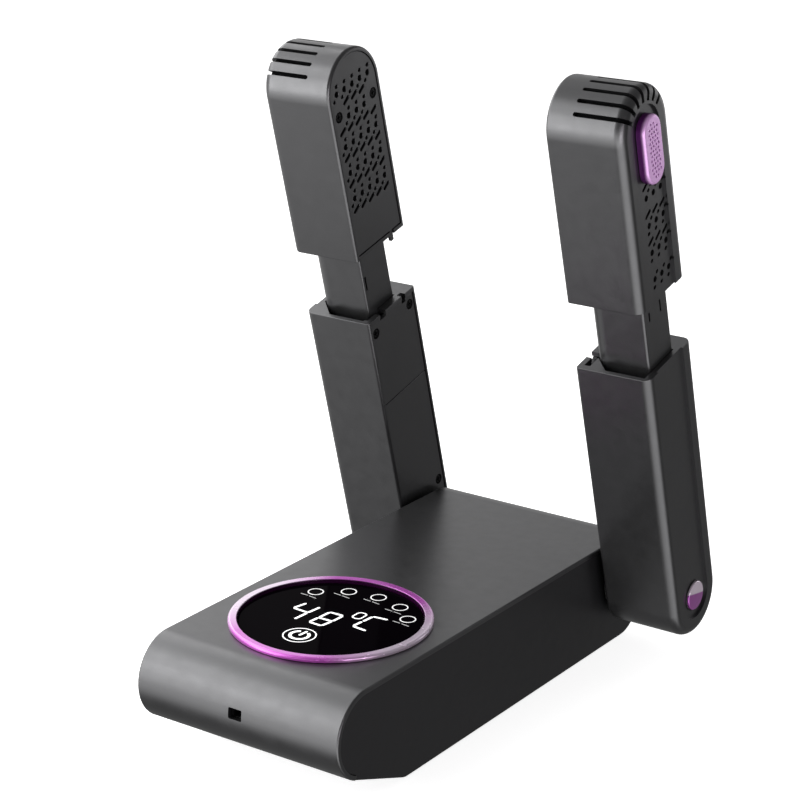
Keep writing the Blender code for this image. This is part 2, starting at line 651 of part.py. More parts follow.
def sleeve_shell(side, sign, frame):
    obj = arm_shell(f"{side}_sleeve_shell", sign, frame, sleeve_outline(0, SLEEVE_TOP), SLEEVE_TOP)
    hollow = arm_plate(sign, [sleeve_outline(WALL, SLEEVE_TOP - WALL)], -OVERSHOOT, CAVITY_W)
    cut(obj, hollow)
    panel_top = SLEEVE_TOP + OVERSHOOT
    panel = arc((0, 0), PANEL_RADIUS, 180, 360, 12) + [(PANEL_RADIUS, panel_top), (-PANEL_RADIUS, panel_top)]
    cut(obj, arm_plate(sign, [panel], ARM_WIDTH - PANEL_DEPTH, ARM_WIDTH + OVERSHOOT))
    bosses = bmesh.new()
    for centre in SLEEVE_SCREWS.values():
        arm_cylinder(sign, centre, BOSS_RADIUS, COVER_HIGH + GAP, CAVITY_W + WALL / 2, 10, bosses)
    join(obj, bosses)
    top = plate([neck_opening(sign)], "z", SLEEVE_TOP - 2 * WALL, SLEEVE_TOP + OVERSHOOT)
    cut(obj, top)
    holes = arm_cylinder(sign, (0, 0), 4 * MM, CAVITY_W - OVERSHOOT / 2, ARM_WIDTH + OVERSHOOT, 16)
    for centre in SLEEVE_SCREWS.values():
        arm_cylinder(sign, centre, SCREW_HOLE_RADIUS, -OVERSHOOT, 14 * MM, 8, holes)
    cut(obj, holes)
    cut(obj, notches(sign, ARM_RADIUS))


def notches(sign, depth):
    """The latch notch and the tongue's slot in the top edge of the inner side."""
    notch_low, notch_high = across(sign, -OVERSHOOT, NECK_INNER)
    shape = box((notch_low, -10.5 * MM, SLEEVE_TOP - 3.2 * MM), (notch_high, -5.6 * MM, SLEEVE_TOP + OVERSHOOT))
    slot_low, slot_high = across(sign, -OVERSHOOT, COVER_HIGH + GAP)
    low = (slot_low, TONGUE_V[0] - GAP, SLEEVE_TOP - 4.2 * MM)
    box(low, (slot_high, TONGUE_V[1] + GAP, SLEEVE_TOP + OVERSHOOT), shape)
    return shape


def sleeve_covers(side, sign, frame):
    inset = WALL + GAP
    radius = ARM_RADIUS - inset
    lower = arc((0, 0), radius, 180, 360, 14) + [(radius, COVER_SEAM), (-radius, COVER_SEAM)]
    hub = arc((0, 0), TUBE_RADIUS + GAP, 0, 360, 32)[:-1]
    cover = cover_piece(f"{side}_sleeve_cover_lower", sign, frame, lower, [hub], 40 * MM)
    cut_screw_holes(cover, sign, [SLEEVE_SCREWS["low"]])
    top = SLEEVE_TOP - WALL - GAP
    low = COVER_SEAM + GAP
    upper = [(-radius, low), (radius, low), (radius, top), (-radius, top)]
    cover = cover_piece(f"{side}_sleeve_cover_upper", sign, frame, upper, [], 95 * MM)
    cut_screw_holes(cover, sign, [SLEEVE_SCREWS["front"], SLEEVE_SCREWS["rear"]])
    cut(cover, notches(sign, ARM_RADIUS))


def cover_piece(name, sign, frame, outline, holes, rib_u):
    """A flat cover with a small chamfer round its outer edge, and a crush rib on each long edge."""
    shape = arm_plate(sign, [outline] + holes, COVER_LOW, COVER_HIGH)
    round_edges(shape, 0.3 * MM, 1, on_outline(outline, COVER_LOW))
    cover = piece(name, shape, GREY, frame)
    low_x, high_x = across(sign, COVER_LOW, COVER_HIGH)
    ribs = bmesh.new()
    for side in (-1, 1):
        low_v, high_v = sorted((side * 17 * MM, side * (ARM_RADIUS - WALL - GAP / 2)))
        box((low_x, low_v, rib_u), (high_x, high_v, rib_u + 2 * MM), ribs)
    join(cover, ribs)
    return cover


def cut_screw_holes(cover, sign, centres):
    """A recess and a shank hole for each screw of a cover."""
    recesses, holes = bmesh.new(), bmesh.new()
    for centre in centres:
        arm_cylinder(sign, centre, RECESS_RADIUS, -OVERSHOOT, COVER_LOW + 1.2 * MM, 14, recesses)
        arm_cylinder(sign, centre, SCREW_HOLE_RADIUS, -OVERSHOOT, COVER_HIGH + OVERSHOOT, 8, holes)
    cut(cover, recesses)
    cut(cover, holes)


def cover_screws(side, sign, frame, group, places):
    for where, centre in places.items():
        seat = COVER_LOW + 1.2 * MM - GAP
        head = arm_cylinder(sign, centre, SCREW_HEAD_RADIUS, seat - 0.9 * MM, seat, 12)
        screw = piece(f"{side}_{group}_screw_{where}", head, STEEL, frame)
        join(screw, arm_cylinder(sign, centre, SCREW_SHANK_RADIUS, seat - 0.4 * MM, 11 * MM, 8))


def pivot_cap(side, sign, frame):
    seat = ARM_WIDTH - PANEL_DEPTH + GAP
    shape = arm_cylinder(sign, (0, 0), PIVOT_CAP_RADIUS, seat, seat + 1.2 * MM, 32)
    outer = sign * (seat + 1.2 * MM)
    round_edges(shape, 0.4 * MM, 1, lambda co: near(co.x, outer))
    cap = piece(f"{side}_pivot_cap", shape, MAGENTA, frame)
    join(cap, arm_cylinder(sign, (0, 0), 3.7 * MM, CAVITY_W - 0.5 * MM, seat + 0.6 * MM, 12))


def neck_guide(side, sign, frame):
    """A three-sided liner that the neck slides along inside its sleeve."""
    front, back = NECK_FRONT - 0.4 * MM, NECK_BACK + 0.4 * MM
    inner, outer = NECK_INNER - 0.4 * MM, NECK_OUTER
    thickness = 1.4 * MM
    outline = [
        (outer, front - thickness),
        (outer, front),
        (inner, front),
        (inner, back),
        (outer, back),
        (outer, back + thickness),
        (inner - thickness, back + thickness),
        (inner - thickness, front - thickness),
    ]
    outline = [(sign * w, v) for w, v in outline]
    shape = plate([outline], "z", NECK_LOW + NECK_FLANGE + GAP, GUIDE_HIGH)
    piece(f"{side}_neck_guide", shape, BLACK, frame)


def neck_tube(side, sign, frame):
    outlines = [neck_outline(sign, 0), neck_outline(sign, NECK_WALL)]
    neck = piece(f"{side}_neck_tube", plate(outlines, "z", NECK_LOW, NECK_HIGH), GREY, frame)
    flange = [neck_outline(sign, -1.0 * MM), neck_outline(sign, NECK_WALL / 2)]
    top = NECK_LOW + NECK_FLANGE
    shape = plate([flange[0], flange[1]], "z", NECK_LOW, top)
    keep = across(sign, NECK_INNER - 1.2 * MM, NECK_OUTER)
    flange_trim = box((keep[0], NECK_FRONT - 2 * MM, 0), (keep[1], NECK_BACK + 2 * MM, SLEEVE_TOP))
    trimmed = add_object(f"{side}_neck_flange", shape, CUTTERS, frame)
    trimmed.hide_render = True
    trimmed.display_type = "WIRE"
    boolean(trimmed, flange_trim, "INTERSECT")
    modifier = neck.modifiers.new("Flange", "BOOLEAN")
    modifier.operation = "UNION"
    modifier.object = trimmed
    slots = bmesh.new()
    low_x, high_x = across(sign, NECK_OUTER - NECK_WALL - 1 * MM, NECK_OUTER + 1 * MM)
    for v, low, high in ((-8 * MM, 157 * MM, 161.5 * MM), (2 * MM, 157 * MM, 163 * MM)):
        box((low_x, v - 0.6 * MM, low), (high_x, v + 0.6 * MM, high), slots)
    low_x, high_x = across(sign, NECK_INNER - 1 * MM, NECK_INNER + NECK_WALL + 1 * MM)
    box((low_x, -11.4 * MM, 146 * MM), (high_x, -10.2 * MM, 153.5 * MM), slots)
    cut(neck, slots)


def head_shell(side, sign, frame):
    obj = arm_shell(f"{side}_head_shell", sign, frame, head_outline(0, HEAD_BOTTOM), HEAD_BOTTOM)
    cut(obj, arm_plate(sign, [head_outline(WALL, HEAD_BOTTOM + WALL)], -OVERSHOOT, CAVITY_W))
    arch = arc((0, HEAD_TOP - ARM_RADIUS), PANEL_RADIUS, 0, 180, 12)
    below = HEAD_BOTTOM - OVERSHOOT
    panel = [(-PANEL_RADIUS, below), (PANEL_RADIUS, below)] + arch
    cut(obj, arm_plate(sign, [panel], ARM_WIDTH - PANEL_DEPTH, ARM_WIDTH + OVERSHOOT))
    bosses = bmesh.new()
    for centre in HEAD_SCREWS.values():
        arm_cylinder(sign, centre, BOSS_RADIUS, COVER_HIGH + GAP, CAVITY_W + WALL / 2, 10, bosses)
    join(obj, bosses)
    socket = plate([neck_outline(sign, -GAP)], "z", HEAD_BOTTOM - OVERSHOOT, HEAD_BOTTOM + 2 * WALL)
    cut(obj, socket)
    holes = bmesh.new()
    for centre in HEAD_SCREWS.values():
        arm_cylinder(sign, centre, SCREW_HOLE_RADIUS, -OVERSHOOT, 14 * MM, 8, holes)
    for row in range(3, HOLE_ROWS):
        for column in (-1, 0, 1):
            centre = (column * HOLE_PITCH_V, HOLE_TOP_ROW - row * HOLE_PITCH_U)
            arm_cylinder(sign, centre, HOLE_RADIUS, CAVITY_W - 1 * MM, ARM_WIDTH + OVERSHOOT, 8, holes)
    for row in range(2):
        centre = (0, GRILLE_LOW + (8 + 15 * row) * MM)
        arm_cylinder(sign, centre, 4 * MM, CAVITY_W - 1 * MM, ARM_WIDTH + OVERSHOOT, 14, holes)
    cut(obj, holes)
    cut(obj, top_slots(sign))


def top_slots(sign):
    """Radial slots over the round top that run out through the outer fillet."""
    shape = bmesh.new()
    low_x, high_x = across(sign, SLOT_START_W, CAVITY_W + 1 * MM)
    length = high_x - low_x
    crown = Matrix.Translation(((low_x + high_x) / 2, 0, HEAD_TOP - ARM_RADIUS))
    for slot in range(-SLOTS_EACH_SIDE, SLOTS_EACH_SIDE + 1):
        turn = Matrix.Rotation(math.radians(slot * SLOT_STEP), 4, "X")
        out = Matrix.Translation((0, 0, ARM_RADIUS))
        size = Matrix.Diagonal((length, SLOT_WIDTH, 8 * MM, 1))
        bmesh.ops.create_cube(shape, size=1, matrix=crown @ turn @ out @ size)
    return shape


def head_cover(side, sign, frame):
    inset = WALL + GAP
    outline = head_outline(inset, HEAD_BOTTOM + inset)
    holes = []
    for row in range(HOLE_ROWS):
        for column in range(-2, 3):
            if row == 1 and abs(column) == 2:
                continue
            centre = (column * HOLE_PITCH_V, HOLE_TOP_ROW - row * HOLE_PITCH_U)
            holes.append(arc(centre, HOLE_RADIUS, 0, 360, 8)[:-1])
    cover = cover_piece(f"{side}_head_cover", sign, frame, outline, holes, 180 * MM)
    low_x, high_x = across(sign, COVER_LOW, COVER_HIGH - 0.4 * MM)
    low = (low_x, TONGUE_V[0], HEAD_BOTTOM - 3.4 * MM)
    join(cover, box(low, (high_x, TONGUE_V[1], HEAD_BOTTOM + 6 * MM)))
    cut_screw_holes(cover, sign, HEAD_SCREWS.values())


def head_tongue_slot(side, sign):
    """Lets the head cover's tongue out through the head shell's bottom plate."""
    low_x, high_x = across(sign, -OVERSHOOT, COVER_HIGH + GAP)
    low = (low_x, TONGUE_V[0] - GAP, HEAD_BOTTOM - OVERSHOOT)
    cut(PARTS.objects[f"{side}_head_shell"], box(low, (high_x, TONGUE_V[1] + GAP, HEAD_BOTTOM + 2 * WALL)))


def stadium(radius, low, high, steps=8):
    return arc((0, high - radius), radius, 0, 180, steps) + arc((0, low + radius), radius, 180, 360, steps)


def head_grille(side, sign, frame):
    seat = ARM_WIDTH - PANEL_DEPTH + GAP
    crest = ARM_WIDTH + GRILLE_HEIGHT
    shape = arm_plate(sign, [stadium(GRILLE_RADIUS, GRILLE_LOW, GRILLE_HIGH)], seat, crest)
    round_edges(shape, 1.2 * MM, 2, lambda co: near(co.x, sign * crest))
    grille = piece(f"{side}_head_grille", shape, LILAC, frame)
    rim = 1.6 * MM
    pocket = stadium(GRILLE_RADIUS - rim, GRILLE_LOW + rim, GRILLE_HIGH - rim, 6)
    cut(grille, arm_plate(sign, [pocket], seat - 1 * MM, crest - 1.4 * MM))
    holes = bmesh.new()
    middle = (GRILLE_LOW + GRILLE_HIGH) / 2
    for row in range(-3, 4):
        for column in (-1, 1):
            centre = (column * 2.4 * MM, middle + row * 3.2 * MM)
            arm_cylinder(sign, centre, 0.9 * MM, crest - 3 * MM, crest + 1 * MM, 6, holes)
    cut(grille, holes)


def deodoriser_board(side, sign, frame):
    low_x, high_x = across(sign, CAVITY_W - 5 * MM, CAVITY_W - 3.4 * MM)
    shape = box((low_x, -9 * MM, GRILLE_LOW - 2 * MM), (high_x, 9 * MM, GRILLE_HIGH))
    piece(f"{side}_deodoriser_board", shape, BOARD_GREEN, frame)


def arm(side, sign):
    frame = arm_frame(side, sign)
    sleeve_shell(side, sign, frame)
    sleeve_covers(side, sign, frame)
    cover_screws(side, sign, frame, "sleeve", SLEEVE_SCREWS)
    pivot_cap(side, sign, frame)
    neck_guide(side, sign, frame)
    neck_tube(side, sign, frame)
    head_shell(side, sign, frame)
    head_cover(side, sign, frame)
    head_tongue_slot(side, sign)
    cover_screws(side, sign, frame, "head", HEAD_SCREWS)
    head_grille(side, sign, frame)
    deodoriser_board(side, sign, frame)


# ---------------------------------------------------------------- build

# Each finish is a colour, a roughness and a metallic value.
GREY = ((0.11, 0.11, 0.115), 0.42, 0.1)
DARK = ((0.03, 0.03, 0.033), 0.5)
BLACK = ((0.012, 0.012, 0.013), 0.45)
BLACK_GLASS = ((0.004, 0.003, 0.005), 0.06)
MAGENTA = ((0.42, 0.06, 0.47), 0.25, 0.8)
LILAC = ((0.62, 0.28, 0.68), 0.4)
RUBBER = ((0.02, 0.02, 0.02), 0.85)
STEEL = ((0.45, 0.45, 0.46), 0.35, 1.0)
ALUMINIUM = ((0.7, 0.71, 0.72), 0.35, 1.0)
BOARD_GREEN = ((0.03, 0.16, 0.07), 0.5)
FOAM = ((0.08, 0.08, 0.08), 0.95)

clear_scene()
PARTS = new_collection("boot_dryer")
CUTTERS = new_collection("cutters")

base_top_shell()
base_lower_shell()
feet()
display()
electronics()
blower()
intake()
heater()
air_manifold()
base_screws()
pivots()
for arm_side, outward in (("left", -1), ("right", 1)):
    arm(arm_side, outward)
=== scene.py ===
"""Finished look of the folding boot dryer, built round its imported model.

Metres, +Z up, and the nose of the base points to -Y. An arm's pieces are drawn in the arm's own axes: u runs up
the arm from the pivot, v from front to back, and w outward from the inner face.
"""

import json
import math

import bmesh
import bpy
from mathutils import Matrix, Vector

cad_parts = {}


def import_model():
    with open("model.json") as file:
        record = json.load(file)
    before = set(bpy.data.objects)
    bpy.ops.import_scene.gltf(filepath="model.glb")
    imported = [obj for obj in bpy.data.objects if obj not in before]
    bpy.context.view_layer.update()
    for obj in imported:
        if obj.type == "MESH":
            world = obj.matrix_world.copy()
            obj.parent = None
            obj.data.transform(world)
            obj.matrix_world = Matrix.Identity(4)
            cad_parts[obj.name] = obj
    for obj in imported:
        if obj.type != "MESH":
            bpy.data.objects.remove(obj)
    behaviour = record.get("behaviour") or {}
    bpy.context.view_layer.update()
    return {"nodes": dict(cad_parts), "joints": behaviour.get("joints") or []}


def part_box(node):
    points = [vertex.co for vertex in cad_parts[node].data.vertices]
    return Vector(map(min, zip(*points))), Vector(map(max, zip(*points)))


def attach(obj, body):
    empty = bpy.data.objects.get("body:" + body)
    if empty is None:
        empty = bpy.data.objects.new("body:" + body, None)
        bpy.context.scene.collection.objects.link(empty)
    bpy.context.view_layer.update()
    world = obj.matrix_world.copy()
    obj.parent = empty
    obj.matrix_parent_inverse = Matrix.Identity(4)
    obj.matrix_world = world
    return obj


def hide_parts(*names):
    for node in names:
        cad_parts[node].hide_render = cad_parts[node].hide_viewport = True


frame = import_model()

MM = 0.001
GAP = 0.3 * MM  # between pieces that touch
WALL = 2.2 * MM
OVERSHOOT = 10 * MM  # how far a cutter runs past the surface it cuts
SHARP_ANGLE = math.radians(35)  # an edge that turns more than this stays crisp
CORNER_ANGLE = 0.6  # radians; an edge that turns more than this can be bevelled

JOINTS = {joint["name"]: joint for joint in frame["joints"]}

# Base
BASE_LOW, BASE_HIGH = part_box("base_top_shell")
SHELL_LOW, SHELL_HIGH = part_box("base_lower_shell")
NOSE_Y, REAR_Y = BASE_LOW.y, BASE_HIGH.y
BASE_TOP, BASE_FLOOR = BASE_HIGH.z, SHELL_LOW.z
RIBBON_X, SIDE_X = BASE_HIGH.x, SHELL_HIGH.x
NOSE_RADIUS = 20.7 * MM
RAMP_ANGLE = 21.0  # degrees, the underside's slope from the nose down to the floor
RAMP_CORNER_RADIUS = 12 * MM
REAR_TOP_RADIUS = 20.5 * MM
REAR_BOTTOM_RADIUS = 18 * MM
NOSE_CENTRE = (NOSE_Y + NOSE_RADIUS, BASE_TOP - NOSE_RADIUS)
REAR_TOP_CENTRE = (REAR_Y - REAR_TOP_RADIUS, BASE_TOP - REAR_TOP_RADIUS)
REAR_BOTTOM_CENTRE = (REAR_Y - REAR_BOTTOM_RADIUS, BASE_FLOOR + REAR_BOTTOM_RADIUS)
RAMP_END = 270 - RAMP_ANGLE
RIM_ROUNDING = 0.8 * MM
UNDERSIDE_ROUNDING = 0.6 * MM

# Display
RING_LOW, RING_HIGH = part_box("display_ring")
LENS_LOW, LENS_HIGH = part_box("display_lens")
DISPLAY_X, DISPLAY_Y = (RING_LOW.x + RING_HIGH.x) / 2, (RING_LOW.y + RING_HIGH.y) / 2
RING_RADIUS = (RING_HIGH.x - RING_LOW.x) / 2
DISPLAY_HOLE_RADIUS = 44 * MM
RING_BORE = 42 * MM
GRAPHIC_LIFT = 0.02 * MM  # of the lit marks above the lens
GRAPHIC_THICKNESS = 0.05 * MM

# Power inlet, intake and feet
INLET_LOW, INLET_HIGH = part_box("power_inlet")
INLET_Z = (INLET_LOW.z + INLET_HIGH.z) / 2
INLET_WIDTH = 7.0 * MM
INLET_HEIGHT = 5.0 * MM
INLET_CORNERS = (0.6 * MM,) * 4
FEET = tuple(f"foot_{end}_{side}" for end in ("front", "rear") for side in ("left", "right"))
FOOT_POCKET = 2.3 * MM
BASE_SCREWS = tuple(f"base_screw_{number}" for number in range(1, 5))
SCREW_POCKET = 1.2 * MM  # up from the base's floor
SCREW_HEAD_RADIUS = 2.1 * MM
SCREW_SHANK_RADIUS = 0.9 * MM

# Arms
ARM_WIDTH = 38.5 * MM
ARM_RADIUS = 20.4 * MM  # half the arm's depth, and the radius of its round ends
SLEEVE_TOP = 133 * MM
HEAD_BOTTOM = 167 * MM
HEAD_TOP = 269 * MM
COVER_SEAM = 85 * MM
OUTER_FILLET = 4.5 * MM
INNER_FILLET = 1.5 * MM
MOUTH_ROUNDING = 0.35 * MM  # round the flat end where the neck goes in
PANEL_RADIUS = 11.6 * MM
PANEL_DEPTH = 1.2 * MM
COVER_LOW = 0.4 * MM
COVER_HIGH = 2.6 * MM
CAVITY_W = ARM_WIDTH - PANEL_DEPTH - WALL
TUBE_RADIUS = 10.5 * MM
CAP_RADIUS = 7.2 * MM
GROOVE_SHADE_RADIUS = 7.9 * MM  # of the black ring round the cap, painted shade for the groove it sits in

# Neck
NECK_FRONT, NECK_BACK = -13 * MM, 8.8 * MM
NECK_INNER, NECK_OUTER = 4.9 * MM, 34.7 * MM
NECK_WALL = 1.8 * MM
NECK_BIG_CORNER = 9 * MM
NECK_SMALL_CORNER = 1.2 * MM
NECK_LOW, NECK_HIGH = 84 * MM, HEAD_BOTTOM + 9 * MM

# Head
CROWN_U = HEAD_TOP - ARM_RADIUS
SLOT_STEP = 17.8  # degrees between the slots over the round top
SLOTS_EACH_SIDE = 3
SLOT_WIDTH = 2.0 * MM
SLOT_START_W = 14 * MM
SLOT_SHADE_DEPTH = 2.0 * MM  # of the black strip of painted shade in a slot, below the outer surface
HOLE_PITCH_V = 6.3 * MM
HOLE_PITCH_U = 13.45 * MM
DOT_RADIUS = 1.5 * MM
INNER_TOP_ROW = 252 * MM
OUTER_TOP_ROW = 217.5 * MM
GRILLE_LOW, GRILLE_HIGH = 223.6 * MM, 256.3 * MM
GRILLE_RADIUS = 7.6 * MM
GRILLE_HEIGHT = 3.4 * MM
GRILLE_HOLE_RADIUS = 0.68 * MM
TONGUE_V = (8.8 * MM, 11.2 * MM)
TONGUE_REACH = 3.4 * MM  # below the head

SLEEVE_SCREWS = {
    "front": (-15.3 * MM, 125 * MM),
    "rear": (14.3 * MM, 125.5 * MM),
    "low": (13.9 * MM, 21.3 * MM),
}
HEAD_SCREWS = {"front": (-14.1 * MM, 240.8 * MM), "rear": (13.7 * MM, 240.8 * MM)}
RECESS_RADIUS = 2.7 * MM
RECESS_FLOOR = 1.9 * MM
BOSS_RADIUS = 2.0 * MM
BOSS_HOLE_RADIUS = 2.5 * MM  # in the black sheet of painted shade, round a screw post


# ---------------------------------------------------------------- outlines and shapes

# How an outline's own axes lie in space, for a plate whose thickness runs along x, y or z.
TURN = {
    "x": Matrix(((0, 0, 1, 0), (1, 0, 0, 0), (0, 1, 0, 0), (0, 0, 0, 1))),
    "y": Matrix(((1, 0, 0, 0), (0, 0, -1, 0), (0, 1, 0, 0), (0, 0, 0, 1))),
    "z": Matrix.Identity(4),
}
TOWARD = {
    "x": Matrix.Rotation(math.pi / 2, 4, "Y"),
    "y": Matrix.Rotation(-math.pi / 2, 4, "X"),
    "z": Matrix.Identity(4),
}


def arc(centre, radius, start, end, steps=24):
    """Points round a circle from one angle to another, in degrees."""
    points = []
    for step in range(steps + 1):
        angle = math.radians(start + (end - start) * step / steps)
        points.append((centre[0] + radius * math.cos(angle), centre[1] + radius * math.sin(angle)))
    return points


def circle(centre, radius, steps=24):
    return arc(centre, radius, 0, 360, steps)[:-1]


def rounded_rectangle(low, high, radii, steps=10):
    """A rectangle with its own radius at each corner: low-left, low-right, high-right, high-left."""
    corners = ((low[0], low[1]), (high[0], low[1]), (high[0], high[1]), (low[0], high[1]))
    points = []
    for index, (corner, radius) in enumerate(zip(corners, radii)):
        inward_x = 1 if index in (0, 3) else -1
        inward_y = 1 if index in (0, 1) else -1
        centre = (corner[0] + inward_x * radius, corner[1] + inward_y * radius)
        points += arc(centre, radius, 180 + 90 * index, 270 + 90 * index, steps)
    return points


def pill(start, end, width, steps=6):
    """The outline of a stroke with round ends."""
    angle = math.degrees(math.atan2(end[1] - start[1], end[0] - start[0]))
    radius = width / 2
    return arc(end, radius, angle - 90, angle + 90, steps) + arc(start, radius, angle + 90, angle + 270, steps)


def bar(start, end, width):
    """The outline of a display segment, whose ends come to a blunt point."""
    along = (Vector(end) - Vector(start)).normalized()
    side = Vector((-along.y, along.x)) * (width / 2)
    start, end = Vector(start), Vector(end)
    tip = along * (width / 2)
    points = (start - tip, start + side, end + side, end + tip, end - side, start - side)
    return [tuple(point) for point in points]


def plate(outlines, axis, low, high, rounding=0.0):
    """A flat outline, with any holes, given thickness from low to high, with its rims rounded."""
    curve = bpy.data.curves.new("outline", "CURVE")
    curve.dimensions = "2D"
    curve.fill_mode = "BOTH"
    curve.extrude = (high - low) / 2 - rounding
    curve.bevel_depth = rounding
    curve.bevel_resolution = 2
    curve.offset = -rounding
    for outline in outlines:
        spline = curve.splines.new("POLY")
        spline.points.add(len(outline) - 1)
        for point, (first, second) in zip(spline.points, outline):
            point.co = (first, second, 0, 1)
        spline.use_cyclic_u = True
    drawn = bpy.data.objects.new("outline", curve)
    bpy.context.scene.collection.objects.link(drawn)
    graph = bpy.context.evaluated_depsgraph_get()
    mesh = bpy.data.meshes.new_from_object(drawn.evaluated_get(graph))
    shape = bmesh.new()
    shape.from_mesh(mesh)
    bmesh.ops.remove_doubles(shape, verts=shape.verts, dist=1e-6)
    middle = (low + high) / 2
    along = Matrix.Translation((0, 0, -middle if axis == "y" else middle))
    bmesh.ops.transform(shape, matrix=TURN[axis] @ along, verts=shape.verts)
    bpy.data.objects.remove(drawn, do_unlink=True)
    bpy.data.curves.remove(curve)
    bpy.data.meshes.remove(mesh)
    return shape


def box(low, high, shape=None):
    """A box from its low corner to its high corner, added to a shape or on its own."""
    shape = shape or bmesh.new()
    low, high = Vector(low), Vector(high)
    place = Matrix.Translation((low + high) / 2) @ Matrix.Diagonal((*(high - low), 1))
    bmesh.ops.create_cube(shape, size=1, matrix=place)
    return shape


def cylinder(axis, centre, radius, low, high, segments=32, shape=None):
    """A cylinder along x, y or z; centre holds its other two coordinates in axis order."""
    shape = shape or bmesh.new()
    middle = list(centre)
    middle.insert("xyz".index(axis), (low + high) / 2)
    place = Matrix.Translation(middle) @ TOWARD[axis]
    depth = high - low
    bmesh.ops.create_cone(
        shape, cap_ends=True, segments=segments, radius1=radius, radius2=radius, depth=depth, matrix=place
    )
    return shape


def lathe(profile, centre, segments=96, axis="z"):
    """A closed (radius, height) outline turned about an axis through a centre."""
    shape = bmesh.new()
    rings = []
    for step in range(segments):
        angle = math.tau * step / segments
        cosine, sine = math.cos(angle), math.sin(angle)
        spots = [Vector((radius * cosine, radius * sine, height)) for radius, height in profile]
        rings.append([shape.verts.new(Vector(centre) + TOWARD[axis] @ spot) for spot in spots])
    for ring, following in zip(rings, rings[1:] + rings[:1]):
        for here in range(len(profile)):
            there = (here + 1) % len(profile)
            shape.faces.new((ring[here], ring[there], following[there], following[here]))
    bmesh.ops.remove_doubles(shape, verts=shape.verts, dist=1e-7)
    bmesh.ops.dissolve_degenerate(shape, edges=shape.edges, dist=1e-8)
    return shape


def gather(shape, part):
    """Moves one drawn shape into another."""
    mesh = bpy.data.meshes.new("part")
    part.to_mesh(mesh)
    part.free()
    shape.from_mesh(mesh)
    bpy.data.meshes.remove(mesh)


def middle_and_radius(node):
    """The middle of a round CAD piece that stands upright, and its radius."""
    low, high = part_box(node)
    return (low + high) / 2, (high.x - low.x) / 2


def near(value, target):
    return abs(value - target) < 1e-6


def round_edges(shape, width, segments, chosen):
    """Bevels the sharp edges whose middles pass a test, once flat faces are whole."""
    bmesh.ops.dissolve_limit(shape, angle_limit=0.001, verts=shape.verts, edges=shape.edges)
    sharp = [edge for edge in shape.edges if edge.calc_face_angle(0) > CORNER_ANGLE]
    edges = [edge for edge in sharp if chosen((edge.verts[0].co + edge.verts[1].co) / 2)]
    bmesh.ops.bevel(shape, geom=edges, offset=width, segments=segments, profile=0.5, affect="EDGES")


# ---------------------------------------------------------------- pieces


def plain_object(name, shape):
    mesh = bpy.data.meshes.new(name)
    bmesh.ops.recalc_face_normals(shape, faces=shape.faces)
    shape.to_mesh(mesh)
    shape.free()
    obj = bpy.data.objects.new(name, mesh)
    bpy.context.scene.collection.objects.link(obj)
    return obj


def carve(obj, shape, operation="DIFFERENCE"):
    """Cuts a shape out of a piece, or joins it on, and keeps only the result."""
    helper = plain_object("carver", shape)
    modifier = obj.modifiers.new("carve", "BOOLEAN")
    modifier.operation = operation
    modifier.solver = "EXACT"
    modifier.object = helper
    graph = bpy.context.evaluated_depsgraph_get()
    carved = bpy.data.meshes.new_from_object(obj.evaluated_get(graph))
    obj.modifiers.clear()
    spent = [obj.data, helper.data]
    obj.data = carved
    bpy.data.objects.remove(helper, do_unlink=True)
    for mesh in spent:
        bpy.data.meshes.remove(mesh)


def finish_piece(obj, finish, body, replaced=None, place=None):
    """Puts a drawn piece in the row frame, shades it, gives it its material and body, and hides the CAD node it
    replaces.
    """
    if place is not None:
        obj.data.transform(place)
    shape = bmesh.new()
    shape.from_mesh(obj.data)
    bmesh.ops.dissolve_degenerate(shape, edges=shape.edges, dist=1e-7)
    bmesh.ops.recalc_face_normals(shape, faces=shape.faces)
    shape.to_mesh(obj.data)
    shape.free()
    obj.data.shade_smooth()
    obj.data.set_sharp_from_angle(angle=SHARP_ANGLE)
    weighted = obj.modifiers.new("Weighted normals", "WEIGHTED_NORMAL")
    weighted.keep_sharp = True
    obj.data.materials.clear()
    obj.data.materials.append(finish)
    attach(obj, body)
    if replaced:
        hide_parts(replaced)
    return obj


# ---------------------------------------------------------------- materials


class Shader:
    """Short calls that add nodes to a material or a world."""

    def __init__(self, owner):
        owner.use_nodes = True
        self.nodes, self.links = owner.node_tree.nodes, owner.node_tree.links

    def feed(self, node, socket, value):
        """Links an output into a socket, or sets the socket to a plain value."""
        if isinstance(value, bpy.types.NodeSocket):
            self.links.new(value, node.inputs[socket])
        else:
            node.inputs[socket].default_value = value

    def add(self, kind, sockets, output=0, **settings):
        """One output of a new node, once its settings are made and its sockets fed."""
        node = self.nodes.new("ShaderNode" + kind)
        for setting, value in settings.items():
            setattr(node, setting, value)
        for socket, value in sockets.items():
            self.feed(node, socket, value)
        return node.outputs[output]

    def maths(self, operation, first, second=0.0):
        return self.add("Math", {0: first, 1: second}, operation=operation)

    def ranged(self, value, *limits):
        """A value carried from one range to another, whose limits are given in that order."""
        names = ("Value", "From Min", "From Max", "To Min", "To Max")
        return self.add("MapRange", dict(zip(names, (value, *limits))), "Result")

    def axes(self, vector):
        node = self.nodes.new("ShaderNodeSeparateXYZ")
        self.links.new(vector, node.inputs["Vector"])
        return node.outputs["X"], node.outputs["Y"], node.outputs["Z"]


